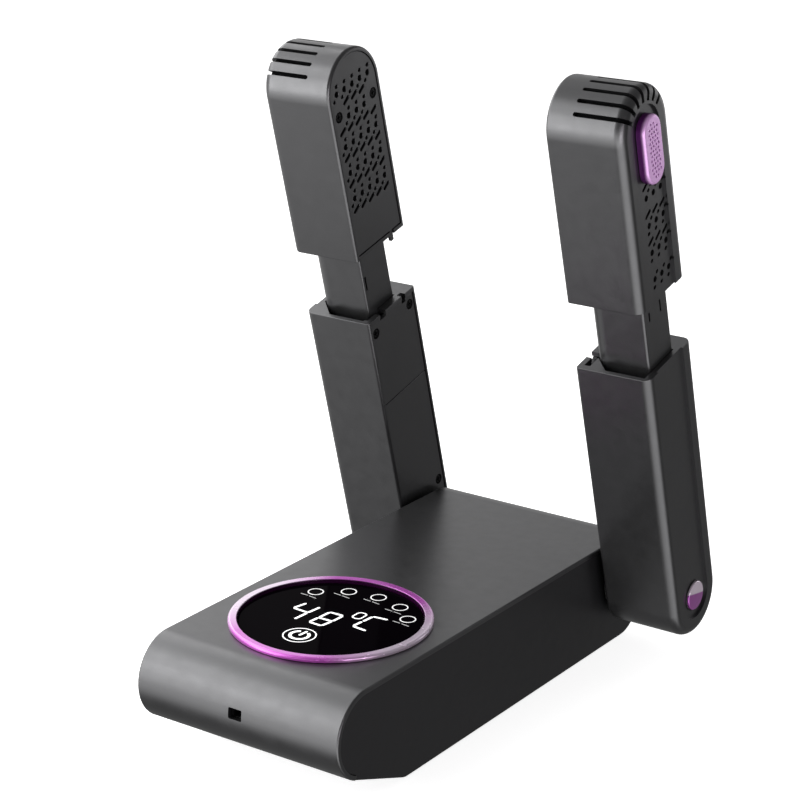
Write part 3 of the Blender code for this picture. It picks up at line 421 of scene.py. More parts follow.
class Finish(Shader):
    """A procedural material on its object's own coordinates."""

    def __init__(self, name, **sockets):
        self.material = bpy.data.materials.new(name)
        super().__init__(self.material)
        self.shader = self.nodes["Principled BSDF"]
        self.place = self.nodes.new("ShaderNodeTexCoord").outputs["Object"]
        for socket, value in sockets.items():
            self.feed(self.shader, socket.replace("_", " "), value)

    def noise(self, scale, detail=2.0, stretch=(1, 1, 1)):
        place = self.add("Mapping", {"Vector": self.place, "Scale": stretch}, "Vector")
        return self.add("TexNoise", {"Vector": place, "Scale": scale, "Detail": detail}, "Fac")

    def cells(self, scale):
        return self.add("TexVoronoi", {"Vector": self.place, "Scale": scale}, "Distance")

    def mix(self, factor, *colours):
        """Two colours mixed, each an output or three plain numbers."""
        ends = [end if isinstance(end, bpy.types.NodeSocket) else (*end, 1.0) for end in colours]
        return self.add("Mix", {"Factor": factor, 6: ends[0], 7: ends[1]}, 2, data_type="RGBA")

    def colour(self, value):
        self.feed(self.shader, "Base Color", value)

    def roughness(self, value):
        self.feed(self.shader, "Roughness", value)

    def bump(self, height, strength, distance):
        sockets = {"Height": height, "Strength": strength, "Distance": distance}
        self.feed(self.shader, "Normal", self.add("Bump", sockets, "Normal"))


def scaled(colour, factor):
    return tuple(channel * factor for channel in colour)


def plastic(name, colour, roughness, grain=0.3, spread=0.07, **sockets):
    """Moulded plastic: a slow drift in tone, fine flecks, and a spark-eroded grain that breaks up the gloss."""
    finish = Finish(name, **sockets)
    drift = finish.noise(14, 3)
    flecks = finish.noise(2600, 1)
    drift, flecks = finish.maths("MULTIPLY", drift, 0.65), finish.maths("MULTIPLY", flecks, 0.35)
    tone = finish.maths("ADD", drift, flecks)
    finish.colour(finish.mix(tone, scaled(colour, 1 - 2 * spread), scaled(colour, 1 + 2 * spread)))
    finish.roughness(finish.ranged(finish.noise(160, 4), 0.25, 0.75, roughness - 0.04, roughness + 0.04))
    finish.bump(finish.noise(1900, 3), grain, 0.03 * MM)
    return finish.material


def metal(name, colour, roughness, stretch=(1, 1, 1), grain=0.2, **sockets):
    """Bright metal with fine scratches along one direction."""
    finish = Finish(name, Metallic=1.0, **sockets)
    scratches = finish.noise(1200, 3, stretch)
    finish.colour(finish.mix(scratches, scaled(colour, 0.85), scaled(colour, 1.1)))
    finish.roughness(finish.ranged(scratches, 0.3, 0.7, roughness - 0.06, roughness + 0.06))
    finish.bump(scratches, grain, 0.02 * MM)
    return finish.material


def rubber(name):
    finish = Finish(name, **{"Specular IOR Level": 0.3})
    dust = finish.noise(90, 5)
    finish.colour(finish.mix(dust, (0.010, 0.010, 0.010), (0.030, 0.029, 0.028)))
    finish.roughness(finish.ranged(dust, 0.3, 0.7, 0.75, 0.92))
    finish.bump(finish.noise(1400, 4), 0.5, 0.05 * MM)
    return finish.material


def foam(name):
    """Open-cell filter foam."""
    finish = Finish(name)
    cells = finish.cells(900)
    walls = finish.ranged(cells, 0.1, 0.6, 0.0, 1.0)
    finish.colour(finish.mix(walls, (0.012, 0.012, 0.013), (0.11, 0.11, 0.115)))
    finish.roughness(finish.ranged(cells, 0.0, 1.0, 0.85, 1.0))
    finish.bump(cells, 0.9, 0.6 * MM)
    return finish.material


def circuit_board(name):
    """Green solder mask with copper tracks showing faintly under it."""
    finish = Finish(name, **{"Coat Weight": 0.3})
    tracks = finish.maths("GREATER_THAN", finish.noise(260, 0, (1, 0.12, 1)), 0.56)
    weave = finish.noise(700, 2)
    mask = finish.mix(weave, (0.010, 0.085, 0.030), (0.018, 0.125, 0.048))
    finish.colour(finish.mix(finish.maths("MULTIPLY", tracks, 0.5), mask, (0.09, 0.22, 0.05)))
    finish.roughness(finish.ranged(weave, 0.2, 0.8, 0.32, 0.45))
    finish.bump(tracks, 0.35, 0.05 * MM)
    return finish.material


def glass(name):
    """Smoked black lens: gloss with faint orange peel and the odd speck of dust."""
    finish = Finish(name, **{"Specular IOR Level": 0.0, "Coat Weight": 0.03, "Coat Roughness": 0.05})
    dust = finish.maths("GREATER_THAN", finish.noise(1500, 3), 0.74)
    amount = finish.maths("MULTIPLY", dust, 0.35)
    finish.colour(finish.mix(amount, (0.0018, 0.0010, 0.0020), (0.04, 0.04, 0.045)))
    finish.roughness(finish.ranged(finish.noise(60, 4), 0.3, 0.7, 0.04, 0.10))
    finish.bump(finish.noise(35, 1), 0.05, 0.02 * MM)
    return finish.material


def ring_metal(name):
    """Anodised magenta trim, magenta at the front and back, with pale lilac at the sides as a painted highlight
    and near-black painted shade on its bore wall.
    """
    finish = Finish(name, Metallic=0.55, **{"Coat Weight": 0.5, "Coat Roughness": 0.12})
    x, y, _ = finish.axes(finish.place)
    away_x = finish.maths("SUBTRACT", x, DISPLAY_X)
    away_y = finish.maths("SUBTRACT", y, DISPLAY_Y)
    squares = [finish.maths("MULTIPLY", away, away) for away in (away_x, away_y)]
    radius = finish.maths("SQRT", finish.maths("ADD", *squares))
    # Painted highlight: pale lilac towards the sides of the ring, magenta at the front and back.
    highlight_mask = finish.maths("ABSOLUTE", finish.maths("DIVIDE", away_x, radius))
    brushed = finish.noise(160, 2, (1, 1, 6))
    base = finish.mix(brushed, (0.65, 0.115, 0.65), (0.69, 0.145, 0.67))
    pale = finish.mix(brushed, (0.84, 0.70, 0.86), (0.90, 0.77, 0.91))
    face = finish.mix(finish.ranged(highlight_mask, 0.55, 0.95, 0.0, 1.0), base, pale)
    # Painted shade: the bore wall and the inner lip turn near black.
    wall = finish.ranged(radius, RING_BORE + 0.35 * MM, RING_BORE + 0.65 * MM, 0.0, 1.0)
    finish.colour(finish.mix(wall, (0.045, 0.002, 0.045), face))
    finish.roughness(finish.ranged(brushed, 0.3, 0.7, 0.24, 0.28))
    finish.bump(brushed, 0.03, 0.01 * MM)
    return finish.material


def grille_metal(name, face_x):
    """Lilac on the raised face, with painted shade darkening it to deep magenta down the side walls."""
    finish = Finish(name, Metallic=0.35, **{"Coat Weight": 0.3, "Coat Roughness": 0.2})
    x, _, _ = finish.axes(finish.place)
    # Painted shade: the colour darkens from the raised face down the side walls.
    height = finish.ranged(finish.maths("ABSOLUTE", x), face_x - 2.2 * MM, face_x - 0.3 * MM, 0.0, 1.0)
    grain = finish.noise(1500, 2)
    face = finish.mix(grain, (0.80, 0.44, 0.86), (0.92, 0.54, 0.96))
    side = finish.mix(grain, (0.10, 0.008, 0.13), (0.16, 0.02, 0.19))
    finish.colour(finish.mix(height, side, face))
    finish.roughness(finish.ranged(grain, 0.3, 0.7, 0.30, 0.42))
    finish.bump(grain, 0.15, 0.02 * MM)
    return finish.material


def cap_metal(name):
    """A magenta-purple cap whose upper part is painted lilac as a painted reflection, with the line between
    them tipped a little.
    """
    finish = Finish(name, Metallic=0.5, **{"Coat Weight": 0.5, "Coat Roughness": 0.1})
    _, y, z = finish.axes(finish.place)
    tip = 0.17
    slant = finish.maths("ADD", z, finish.maths("MULTIPLY", y, tip))
    pivot_y, pivot_z = JOINTS["right_arm_fold"]["pos_m"][1:]
    middle = pivot_z + tip * pivot_y + 1.1 * MM
    # Painted reflection: above a tipped line the cap turns pale lilac.
    upper = finish.ranged(slant, middle - 0.3 * MM, middle + 0.3 * MM, 0.0, 1.0)
    grain = finish.noise(260, 2)
    low = finish.mix(grain, (0.42, 0.09, 0.44), (0.46, 0.11, 0.47))
    high = finish.mix(grain, (0.93, 0.80, 0.93), (0.96, 0.83, 0.96))
    finish.colour(finish.mix(upper, low, high))
    finish.roughness(finish.ranged(grain, 0.3, 0.7, 0.22, 0.26))
    finish.bump(grain, 0.03, 0.01 * MM)
    return finish.material


def lit(name, colour, strength):
    """A lit mark on the display, its brightness varying a little at random."""
    finish = Finish(name, Roughness=0.4)
    glow = finish.ranged(finish.noise(700, 1), 0.3, 0.7, 0.88, 1.0)
    finish.colour(finish.mix(glow, scaled(colour, 0.85), colour))
    finish.feed(finish.shader, "Emission Color", finish.mix(glow, scaled(colour, 0.8), colour))
    finish.shader.inputs["Emission Strength"].default_value = strength
    finish.bump(finish.noise(900, 1), 0.05, 0.01 * MM)
    return finish.material


GREY = plastic("satin_grey", (0.112, 0.112, 0.115), 0.34, Metallic=0.90)
DARK = plastic("dark_grey", (0.017, 0.017, 0.0183), 0.42, 0.45, **{"Specular IOR Level": 0.32})
BLACK = plastic("inner_black", (0.012, 0.012, 0.013), 0.5)
# Near-black matt material for the painted shade behind the head's slots and perforations.
VOID = plastic("painted_shade_black", (0.0035, 0.0035, 0.0038), 0.9, 0.6, 0.2, **{"Specular IOR Level": 0.05})
RUBBER = rubber("rubber")
STEEL = metal("steel", (0.42, 0.42, 0.43), 0.32)
# Near-black steel for the screws in the arms' covers.
SCREW_STEEL = metal("near_black_steel", (0.008, 0.008, 0.009), 0.45)
ALUMINIUM = metal("aluminium", (0.70, 0.71, 0.72), 0.34, (0.1, 1, 1))
BOARD = circuit_board("circuit_board")
FOAM = foam("filter_foam")
LENS = glass("smoked_lens")
RING = ring_metal("anodised_magenta")
WHITE_LIGHT = lit("lit_white", (0.95, 0.95, 0.95), 0.85)
SOFT_LIGHT = lit("soft_white", (0.8, 0.8, 0.8), 0.62)
DIM_LIGHT = lit("dim_white", (0.55, 0.55, 0.55), 0.35)
GOLD = metal("gold_contact", (0.80, 0.58, 0.22), 0.25)


# ---------------------------------------------------------------- base


def ramp_corner():
    """Centre of the arc where the ramp meets the flat floor."""
    slope = math.radians(RAMP_ANGLE)
    height = BASE_FLOOR + RAMP_CORNER_RADIUS
    fall = NOSE_RADIUS - RAMP_CORNER_RADIUS + (height - NOSE_CENTRE[1]) * math.cos(slope)
    return NOSE_CENTRE[0] - fall / math.sin(slope), height


def upper_profile(inset, nose_end=RAMP_END):
    """Side view of the rear, the top and the nose, from the rear end to the ramp."""
    rear = arc(REAR_TOP_CENTRE, REAR_TOP_RADIUS - inset, 0, 90, 30)
    nose = arc(NOSE_CENTRE, NOSE_RADIUS - inset, 90, nose_end, 56)
    return rear + nose


def lower_profile(inset):
    """Side view of the underside, from the ramp's end to the rear wall."""
    corner = arc(ramp_corner(), RAMP_CORNER_RADIUS - inset, RAMP_END, 270, 8)
    rear = arc(REAR_BOTTOM_CENTRE, REAR_BOTTOM_RADIUS - inset, 270, 360, 28)
    return corner + rear


def along_ramp(inset, distance):
    """A point on the ramp's line, this far forward of where the nose's arc ends."""
    angle = math.radians(RAMP_END)
    slope = math.radians(RAMP_ANGLE)
    radius = NOSE_RADIUS - inset
    start = (NOSE_CENTRE[0] + radius * math.cos(angle), NOSE_CENTRE[1] + radius * math.sin(angle))
    return start[0] - distance * math.cos(slope), start[1] + distance * math.sin(slope)


def on_outline(outline, x):
    """A test for the edges that run along an outline on a face of a plate, this far out in x."""
    ends = zip(outline, outline[1:] + outline[:1])
    middles = [((first[0] + second[0]) / 2, (first[1] + second[1]) / 2) for first, second in ends]

    def test(co):
        return near(abs(co.x), x) and any(near(co.y, y) and near(co.z, z) for y, z in middles)

    return test


def base_top_shell():
    outer = upper_profile(0, RAMP_END - 1)
    inner = upper_profile(WALL, RAMP_END - 1)
    shape = plate([outer + inner[::-1]], "x", -RIBBON_X, RIBBON_X)
    round_edges(shape, RIM_ROUNDING, 4, on_outline(outer, RIBBON_X))
    obj = plain_object("base_top_moulding", shape)
    low, high = BASE_TOP - OVERSHOOT, BASE_TOP + OVERSHOOT
    carve(obj, cylinder("z", (DISPLAY_X, DISPLAY_Y), DISPLAY_HOLE_RADIUS, low, high, 96))
    half_w, half_h = INLET_WIDTH / 2 + 0.1 * MM, INLET_HEIGHT / 2 + 0.1 * MM
    hole = rounded_rectangle((-half_w, INLET_Z - half_h), (half_w, INLET_Z + half_h), INLET_CORNERS, 4)
    carve(obj, plate([hole], "y", NOSE_Y - OVERSHOOT, NOSE_Y + 5 * MM))
    finish_piece(obj, GREY, "base", "base_top_shell")


def base_lower_shell():
    step = WALL + GAP
    rear_step = (REAR_Y, REAR_TOP_CENTRE[1] - GAP)
    outside = [along_ramp(0, 0)] + lower_profile(0)
    outline = [rear_step, (REAR_Y - step, rear_step[1])] + upper_profile(step) + outside
    shape = plate([outline], "x", -SIDE_X, SIDE_X)
    round_edges(shape, UNDERSIDE_ROUNDING, 3, on_outline(outside, SIDE_X))
    obj = plain_object("base_lower_moulding", shape)
    above = BASE_TOP + OVERSHOOT
    hollow = lower_profile(WALL)
    hollow += [(REAR_Y - WALL, above), (NOSE_Y - OVERSHOOT, above), along_ramp(WALL, 30 * MM)]
    carve(obj, plate([hollow], "x", WALL - SIDE_X, SIDE_X - WALL))
    pivot_y, pivot_z = JOINTS["right_arm_fold"]["pos_m"][1:]
    holes = cylinder("x", (pivot_y, pivot_z), TUBE_RADIUS + GAP, -RIBBON_X, RIBBON_X, 64)
    middle, radius = middle_and_radius("intake_grille")
    cylinder("z", middle.xy, radius + GAP, 0, 5 * MM, 96, holes)
    for name in FEET + BASE_SCREWS:
        middle, radius = middle_and_radius(name)
        depth = FOOT_POCKET if name in FEET else BASE_FLOOR + SCREW_POCKET
        cylinder("z", middle.xy, radius + GAP, 0, depth, 40, holes)
    carve(obj, holes)
    finish_piece(obj, DARK, "base", "base_lower_shell")


def feet():
    for name in FEET:
        middle, radius = middle_and_radius(name)
        bottom, top = (corner.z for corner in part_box(name))
        sole = [(0, bottom + 0.25 * MM), (radius - 2.2 * MM, bottom + 0.25 * MM), (radius - 1.8 * MM, bottom)]
        sole += arc((radius - 0.6 * MM, bottom + 0.6 * MM), 0.6 * MM, 270, 360, 6)
        shape = lathe(sole + [(radius, top), (0, top)], (middle.x, middle.y, 0), 64)
        finish_piece(plain_object(name + "_pad", shape), RUBBER, "base", name)


def cross_screw(name, replaced, body, finish, top, direction, length, place=None):
    """A screw with a cross recess. Its head's top is at a point, and faces along a direction."""
    head = 1.2 * MM
    rounding = 0.25 * MM
    arm_long, arm_wide, recess = 1.35 * MM, 0.28 * MM, 0.7 * MM
    dome = arc((SCREW_HEAD_RADIUS - rounding, -rounding), rounding, 0, 90, 4)[::-1]
    thread = []
    turns = 8
    for turn in range(turns):
        depth = -head - (length - head - 1 * MM) * turn / turns
        thread += [(SCREW_SHANK_RADIUS * 0.8, depth), (SCREW_SHANK_RADIUS, depth - 0.5 * MM)]
    tip = [(SCREW_SHANK_RADIUS * 0.8, 1 * MM - length), (0, -length)]
    profile = [(0, 0)] + dome + [(SCREW_HEAD_RADIUS, -head)] + thread + tip
    obj = plain_object(name, lathe(profile, (0, 0, 0), 32))
    for half_x, half_y in ((arm_long, arm_wide), (arm_wide, arm_long)):
        carve(obj, box((-half_x, -half_y, -recess), (half_x, half_y, 1 * MM)))
    turn = Vector((0, 0, 1)).rotation_difference(Vector(direction)).to_matrix().to_4x4()
    obj.data.transform(Matrix.Translation(top) @ turn)
    finish_piece(obj, finish, body, replaced, place)


def base_screws():
    for name in BASE_SCREWS:
        low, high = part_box(name)
        middle = (low + high) / 2
        top = (middle.x, middle.y, low.z)
        cross_screw(name + "_cross", name, "base", STEEL, top, (0, 0, -1), high.z - low.z)


def display():
    top = BASE_TOP + GAP
    crest = RING_HIGH.z
    ledge = RING_LOW.z
    skirt = DISPLAY_HOLE_RADIUS - GAP
    shoulder = 1.3 * MM
    lip = 0.5 * MM
    profile = [(RING_BORE - 2 * MM, ledge), (skirt, ledge), (skirt, top), (RING_RADIUS, top)]
    profile += arc((RING_RADIUS - shoulder, crest - shoulder), shoulder, 0, 90, 12)
    profile += arc((RING_BORE + 0.3 * MM + lip, crest - 0.15 * MM - lip), lip, 90, 170, 8)
    profile += [(RING_BORE, ledge + 1.6 * MM), (RING_BORE - 2 * MM, ledge + 1.6 * MM)]
    obj = plain_object("display_trim_ring", lathe(profile, (DISPLAY_X, DISPLAY_Y, 0), 160))
    finish_piece(obj, RING, "base", "display_ring")

    radius = (LENS_HIGH.x - LENS_LOW.x) / 2
    edge = 0.4 * MM
    profile = [(0, LENS_LOW.z), (radius, LENS_LOW.z)]
    profile += arc((radius - edge, LENS_HIGH.z - edge), edge, 0, 90, 6) + [(0, LENS_HIGH.z)]
    obj = plain_object("display_glass", lathe(profile, (DISPLAY_X, DISPLAY_Y, 0), 160))
    finish_piece(obj, LENS, "base", "display_lens")
    display_marks()


def on_display(points):
    """Millimetres from the display's centre to places in the row frame."""
    return [(DISPLAY_X + x * MM, DISPLAY_Y + y * MM) for x, y in points]


def marks(name, outlines, finish):
    """A group of lit marks printed on the lens."""
    low = LENS_HIGH.z + GRAPHIC_LIFT
    shape = bmesh.new()
    for group in outlines:
        gather(shape, plate([on_display(outline) for outline in group], "z", low, low + GRAPHIC_THICKNESS))
    finish_piece(plain_object(name, shape), finish, "base")


def display_marks():
    """48 degrees C, a power mark and five touch rings, each with a plain bar in place of its label."""
    four = [((-19.8, 7.4), (-21.2, 1.1)), ((-20.7, 0.3), (-13.4, -0.2)), ((-12.0, 7.2), (-12.7, 0.5)),
            ((-12.9, -1.2), (-13.4, -8.7))]
    eight = [((-4.4, 6.0), (1.7, 6.2)), ((2.3, 5.3), (2.1, -0.8)), ((1.8, -2.4), (1.0, -7.6)),
             ((0.3, -8.4), (-5.4, -8.2)), ((-6.0, -7.4), (-5.6, -2.6)), ((-5.4, -1.0), (-5.0, 5.2)),
             ((-4.8, -1.8), (1.4, -1.7))]
    letter_c = [((14.4, 13.3), (20.8, 14.1)), ((13.7, 12.4), (13.3, 6.9)), ((13.0, 5.3), (12.6, 0.3)),
                ((13.2, -0.6), (19.7, -1.3))]
    stroke = 1.35
    segments = [[bar(start, end, stroke)] for start, end in four + eight + letter_c]
    degree = [rounded_rectangle((5.65, 6.7), (10.95, 14.3), (2.2,) * 4, 6),
              rounded_rectangle((6.4, 7.45), (10.2, 13.55), (1.5,) * 4, 6)]
    marks("display_digits", segments + [degree], WHITE_LIGHT)

    power = (-0.9, -22.2)
    halo = [circle(power, 7.7, 64), circle(power, 7.1, 64)]
    broken = arc(power, 5.0, 118, 422, 48) + arc(power, 3.5, 422, 118, 48)
    stem = pill((power[0], power[1] + 0.3), (power[0] + 0.4, power[1] + 4.7), 1.3)
    marks("display_power_mark", [halo, [broken], [stem]], WHITE_LIGHT)

    places = ((-24.3, 21.2), (-11.9, 30.1), (3.2, 32.5), (17.8, 28.9), (28.3, 19.9))
    rings = [[circle(place, 3.8, 40), circle(place, 3.2, 40)] for place in places]
    marks("display_touch_rings", rings, SOFT_LIGHT)
    bars = []
    for x, y in places:
        bars.append([pill((x - 4.4, y - 5.4), (x - 0.6, y - 5.6), 0.45)])
        bars.append([pill((x + 0.6, y - 5.7), (x + 4.6, y - 6.2), 0.45)])
    marks("display_label_bars", bars, DIM_LIGHT)


def power_contacts():
    """The blade and its contacts inside the power inlet."""
    back = INLET_HIGH.y - 1.5 * MM
    half_w, half_h = 2.3 * MM, 0.45 * MM
    outline = rounded_rectangle((-half_w, INLET_Z - half_h), (half_w, INLET_Z + half_h), (0.2 * MM,) * 4, 3)
    blade = plate([outline], "y", INLET_LOW.y + 2.5 * MM, back + 0.4 * MM, 0.1 * MM)
    finish_piece(plain_object("power_inlet_blade", blade), BLACK, "base")
    contacts = bmesh.new()
    for number in range(5):
        x = (number - 2) * 0.9 * MM
        low = (x - 0.2 * MM, INLET_LOW.y + 2.9 * MM, INLET_Z + 0.46 * MM)
        box(low, (x + 0.2 * MM, back - 0.2 * MM, INLET_Z + 0.56 * MM), contacts)
    finish_piece(plain_object("power_inlet_contacts", contacts), GOLD, "base")


# ---------------------------------------------------------------- arms


def across(sign, low, high):
    """The x range of something that lies between two distances out from the arm's inner face."""
    return sorted((sign * low, sign * high))


def arm_place(side):
    """The arm's own axes in the row frame: origin on the pivot at its inner face, and Z up the arm."""
    along = JOINTS[f"{side}_head_slide"]["axis"]
    lean = math.atan2(-along[1], along[2])
    return Matrix.Translation(JOINTS[f"{side}_arm_fold"]["pos_m"]) @ Matrix.Rotation(lean, 4, "X")


def arm_plate(sign, outlines, low, high, rounding=0.0):
    return plate(outlines, "x", *across(sign, low, high), rounding)


def arm_cylinders(sign, centres, radius, low, high, segments=32, shape=None):
    """Cylinders across the arm at several places, added to a shape or on their own."""
    shape = shape or bmesh.new()
    for centre in centres:
        cylinder("x", centre, radius, *across(sign, low, high), segments, shape)
    return shape


def arm_box(sign, w, v, u, shape=None):
    """A box in the arm's axes, given by its range along each."""
    low_x, high_x = across(sign, *w)
    return box((low_x, v[0], u[0]), (high_x, v[1], u[1]), shape)


def cup(radius, top, steps=64):
    """An outline with a round bottom about the pivot and a flat top."""
    return arc((0, 0), radius, 180, 360, steps) + [(radius, top), (-radius, top)]


def arch(radius, bottom, steps=64):
    """An outline with a round top about the crown's centre and a flat bottom."""
    return [(-radius, bottom), (radius, bottom)] + arc((0, CROWN_U), radius, 0, 180, steps)


def arm_shell(name, sign, outline, flat_end):
    """A shell's solid form: a large fillet round its outer face, small ones round its inner face and mouth."""
    shape = arm_plate(sign, [outline], 0, ARM_WIDTH)
    round_edges(shape, OUTER_FILLET, 9, lambda co: near(abs(co.x), ARM_WIDTH) and not near(co.z, flat_end))
    round_edges(shape, INNER_FILLET, 5, lambda co: near(co.x, 0) and not near(co.z, flat_end))
    round_edges(shape, MOUTH_ROUNDING, 2, lambda co: near(co.z, flat_end))
    return plain_object(name, shape)


def neck_outline(sign, inset):
    """The neck's cross-section in (x, v), with its large corner at the low-x front."""
    low_x, high_x = across(sign, NECK_INNER + inset, NECK_OUTER - inset)
    radii = [max(radius - inset, 0.4 * MM) for radius in (NECK_BIG_CORNER,) + (NECK_SMALL_CORNER,) * 3]
    return rounded_rectangle((low_x, NECK_FRONT + inset), (high_x, NECK_BACK - inset), radii)


def neck_opening(sign):
    """The hole for the neck in a sleeve's top plate, which is wider in front with one cut corner."""
    low_x, high_x = across(sign, NECK_INNER - GAP, NECK_OUTER + GAP)
    front = WALL - ARM_RADIUS
    corner = NECK_BIG_CORNER + 1 * MM
    back = NECK_BACK + GAP
    return [(low_x + corner, front), (high_x, front), (high_x, back), (low_x, back), (low_x, front + corner)]


def notches(sign):
    """The latch notch and the tongue's slot in the top edge of the inner side."""
    above = SLEEVE_TOP + OVERSHOOT
    shape = arm_box(sign, (-OVERSHOOT, NECK_INNER), (-10.5 * MM, -5.6 * MM), (SLEEVE_TOP - 3.2 * MM, above))
    slot_v = (TONGUE_V[0] - GAP, TONGUE_V[1] + GAP)
    return arm_box(sign, (-OVERSHOOT, COVER_HIGH + GAP), slot_v, (SLEEVE_TOP - 4.2 * MM, above), shape)


def bosses(sign, centres):
    """Screw posts from behind the cover to the outer wall."""
    return arm_cylinders(sign, centres, BOSS_RADIUS, COVER_HIGH + GAP, CAVITY_W + WALL / 2, 20)


def recesses(sign, centres):
    """Sunk seats for the cover screws."""
    return arm_cylinders(sign, centres, RECESS_RADIUS, -OVERSHOOT, RECESS_FLOOR)


def sleeve_shell(side, sign, place):
    obj = arm_shell(f"{side}_sleeve_moulding", sign, cup(ARM_RADIUS, SLEEVE_TOP), SLEEVE_TOP)
    carve(obj, arm_plate(sign, [cup(ARM_RADIUS - WALL, SLEEVE_TOP - WALL)], -OVERSHOOT, CAVITY_W))
    panel = cup(PANEL_RADIUS, SLEEVE_TOP + OVERSHOOT, 48)
    carve(obj, arm_plate(sign, [panel], ARM_WIDTH - PANEL_DEPTH, ARM_WIDTH + OVERSHOOT))
    carve(obj, bosses(sign, SLEEVE_SCREWS.values()), "UNION")
    mouth = (SLEEVE_TOP - 2 * WALL, SLEEVE_TOP + OVERSHOOT)
    carve(obj, plate([neck_opening(sign)], "z", *mouth))
    carve(obj, arm_box(sign, (COVER_HIGH + GAP, NECK_INNER + 1 * MM), (-17.2 * MM, -6.0 * MM), mouth))
    carve(obj, arm_cylinders(sign, [(0, 0)], 4 * MM, CAVITY_W - OVERSHOOT / 2, ARM_WIDTH + OVERSHOOT))
    carve(obj, notches(sign))
    finish_piece(obj, GREY, f"{side}_arm", f"{side}_sleeve_shell", place)


def sleeve_covers(side, sign, place):
    radius = ARM_RADIUS - (WALL + GAP)
    low, top = COVER_SEAM + GAP, SLEEVE_TOP - WALL - GAP
    lower = cup(radius, COVER_SEAM, 56)
    upper = [(-radius, low), (radius, low), (radius, top), (-radius, top)]
    hub = circle((0, 0), TUBE_RADIUS + GAP, 64)
    for half, outlines, screws in (("lower", [lower, hub], ["low"]), ("upper", [upper], ["front", "rear"])):
        shape = arm_plate(sign, outlines, COVER_LOW, COVER_HIGH, 0.25 * MM)
        obj = plain_object(f"{side}_{half}_cover_plate", shape)
        carve(obj, recesses(sign, [SLEEVE_SCREWS[where] for where in screws]))
        if half == "upper":
            carve(obj, notches(sign))
        finish_piece(obj, GREY, f"{side}_arm", f"{side}_sleeve_cover_{half}", place)


def cover_screws(side, sign, place, body, group, places):
    for where, (v, u) in places.items():
        node = f"{side}_{group}_screw_{where}"
        top = (sign * 0.7 * MM, v, u)
        cross_screw(f"{node}_cross", node, body, SCREW_STEEL, top, (-sign, 0, 0), 10 * MM, place)


def arm_lathe(sign, profile):
    """A (radius, w) outline turned about the pivot's axis."""
    shape = lathe(profile, (0, 0, 0), axis="x")
    if sign < 0:
        bmesh.ops.scale(shape, vec=(-1, 1, 1), verts=shape.verts)
    return shape


def pivot_cap(side, sign, place, finish):
    """The cap pressed into the panel over the pivot, and a thin black ring round it, painted shade for the
    groove the cap sits in.
    """
    seat = ARM_WIDTH - PANEL_DEPTH + GAP
    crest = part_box(f"{side}_pivot_cap")[1 if sign > 0 else 0].x
    high = abs(crest - JOINTS[f"{side}_arm_fold"]["pos_m"][0])
    edge = 0.5 * MM
    dome = arc((CAP_RADIUS - edge, high - 0.15 * MM - edge), edge, 0, 80, 6)
    stem = 3.7 * MM
    profile = [(0, CAVITY_W - 0.5 * MM), (stem, CAVITY_W - 0.5 * MM), (stem, seat), (CAP_RADIUS, seat)]
    profile += dome + [(CAP_RADIUS * 0.5, high - 0.04 * MM), (0, high)]
    obj = plain_object(f"{side}_pivot_button", arm_lathe(sign, profile))
    finish_piece(obj, finish, f"{side}_arm", f"{side}_pivot_cap", place)
    # Painted shade: a thin black ring on the panel round the cap, where the groove is dark.
    face = ARM_WIDTH - PANEL_DEPTH
    bore = CAP_RADIUS + 0.1 * MM
    ring = [(bore, face + 0.05 * MM), (GROOVE_SHADE_RADIUS, face + 0.05 * MM), (GROOVE_SHADE_RADIUS, face + 0.35 * MM)]
    ring += [(GROOVE_SHADE_RADIUS - 0.2 * MM, face + 0.5 * MM), (bore, face + 0.3 * MM)]
    obj = plain_object(f"{side}_pivot_groove_shade", arm_lathe(sign, ring))
    finish_piece(obj, BLACK, f"{side}_arm", place=place)


def neck_tube(side, sign, place):
    outlines = [neck_outline(sign, 0), neck_outline(sign, NECK_WALL)]
    obj = plain_object(f"{side}_neck_sleeve", plate(outlines, "z", NECK_LOW, NECK_HIGH))
    outer_wall = (NECK_OUTER - NECK_WALL - 1 * MM, NECK_OUTER + 1 * MM)
    inner_wall = (NECK_INNER - 1 * MM, NECK_INNER + NECK_WALL + 1 * MM)
    slots = bmesh.new()
    for v, high in ((-8 * MM, 161.5 * MM), (2 * MM, 163 * MM)):
        arm_box(sign, outer_wall, (v - 0.6 * MM, v + 0.6 * MM), (157 * MM, high), slots)
    carve(obj, arm_box(sign, inner_wall, (-11.4 * MM, -10.2 * MM), (146 * MM, 153.5 * MM), slots))
    finish_piece(obj, GREY, f"{side}_head", f"{side}_neck_tube", place)


def perforations(rows, columns, top_row, middle_v, flip, skipped):
    """Dots with a short dash above and below each and a slanted dash between rows, as hole outlines."""
    outlines = []
    for row in range(rows):
        u = top_row - row * HOLE_PITCH_U
        for column in columns:
            v = middle_v + column * HOLE_PITCH_V
            kinds = {
                "dot": circle((v, u), DOT_RADIUS, 16),
                "above": shifted(v, u, flip, (0.6, 3.6), (1.1, 3.75), 1.75),
                "below": shifted(v, u, flip, (-2.7, -3.0), (-2.1, -2.75), 1.6),
                "slant": shifted(v, u, flip, (-1.75, -6.55), (1.75, -4.75), 1.7),
            }
            outlines += [outline for kind, outline in kinds.items() if (row, column, kind) not in skipped]
    return outlines


def shifted(v, u, flip, start, end, width):
    """A dash placed by its ends from a dot's centre, turned half round on the outer face."""
    turn = -1 if flip else 1
    ends = [(v + turn * dv * MM, u + turn * du * MM) for dv, du in (start, end)]
    return pill(*ends, width * MM)


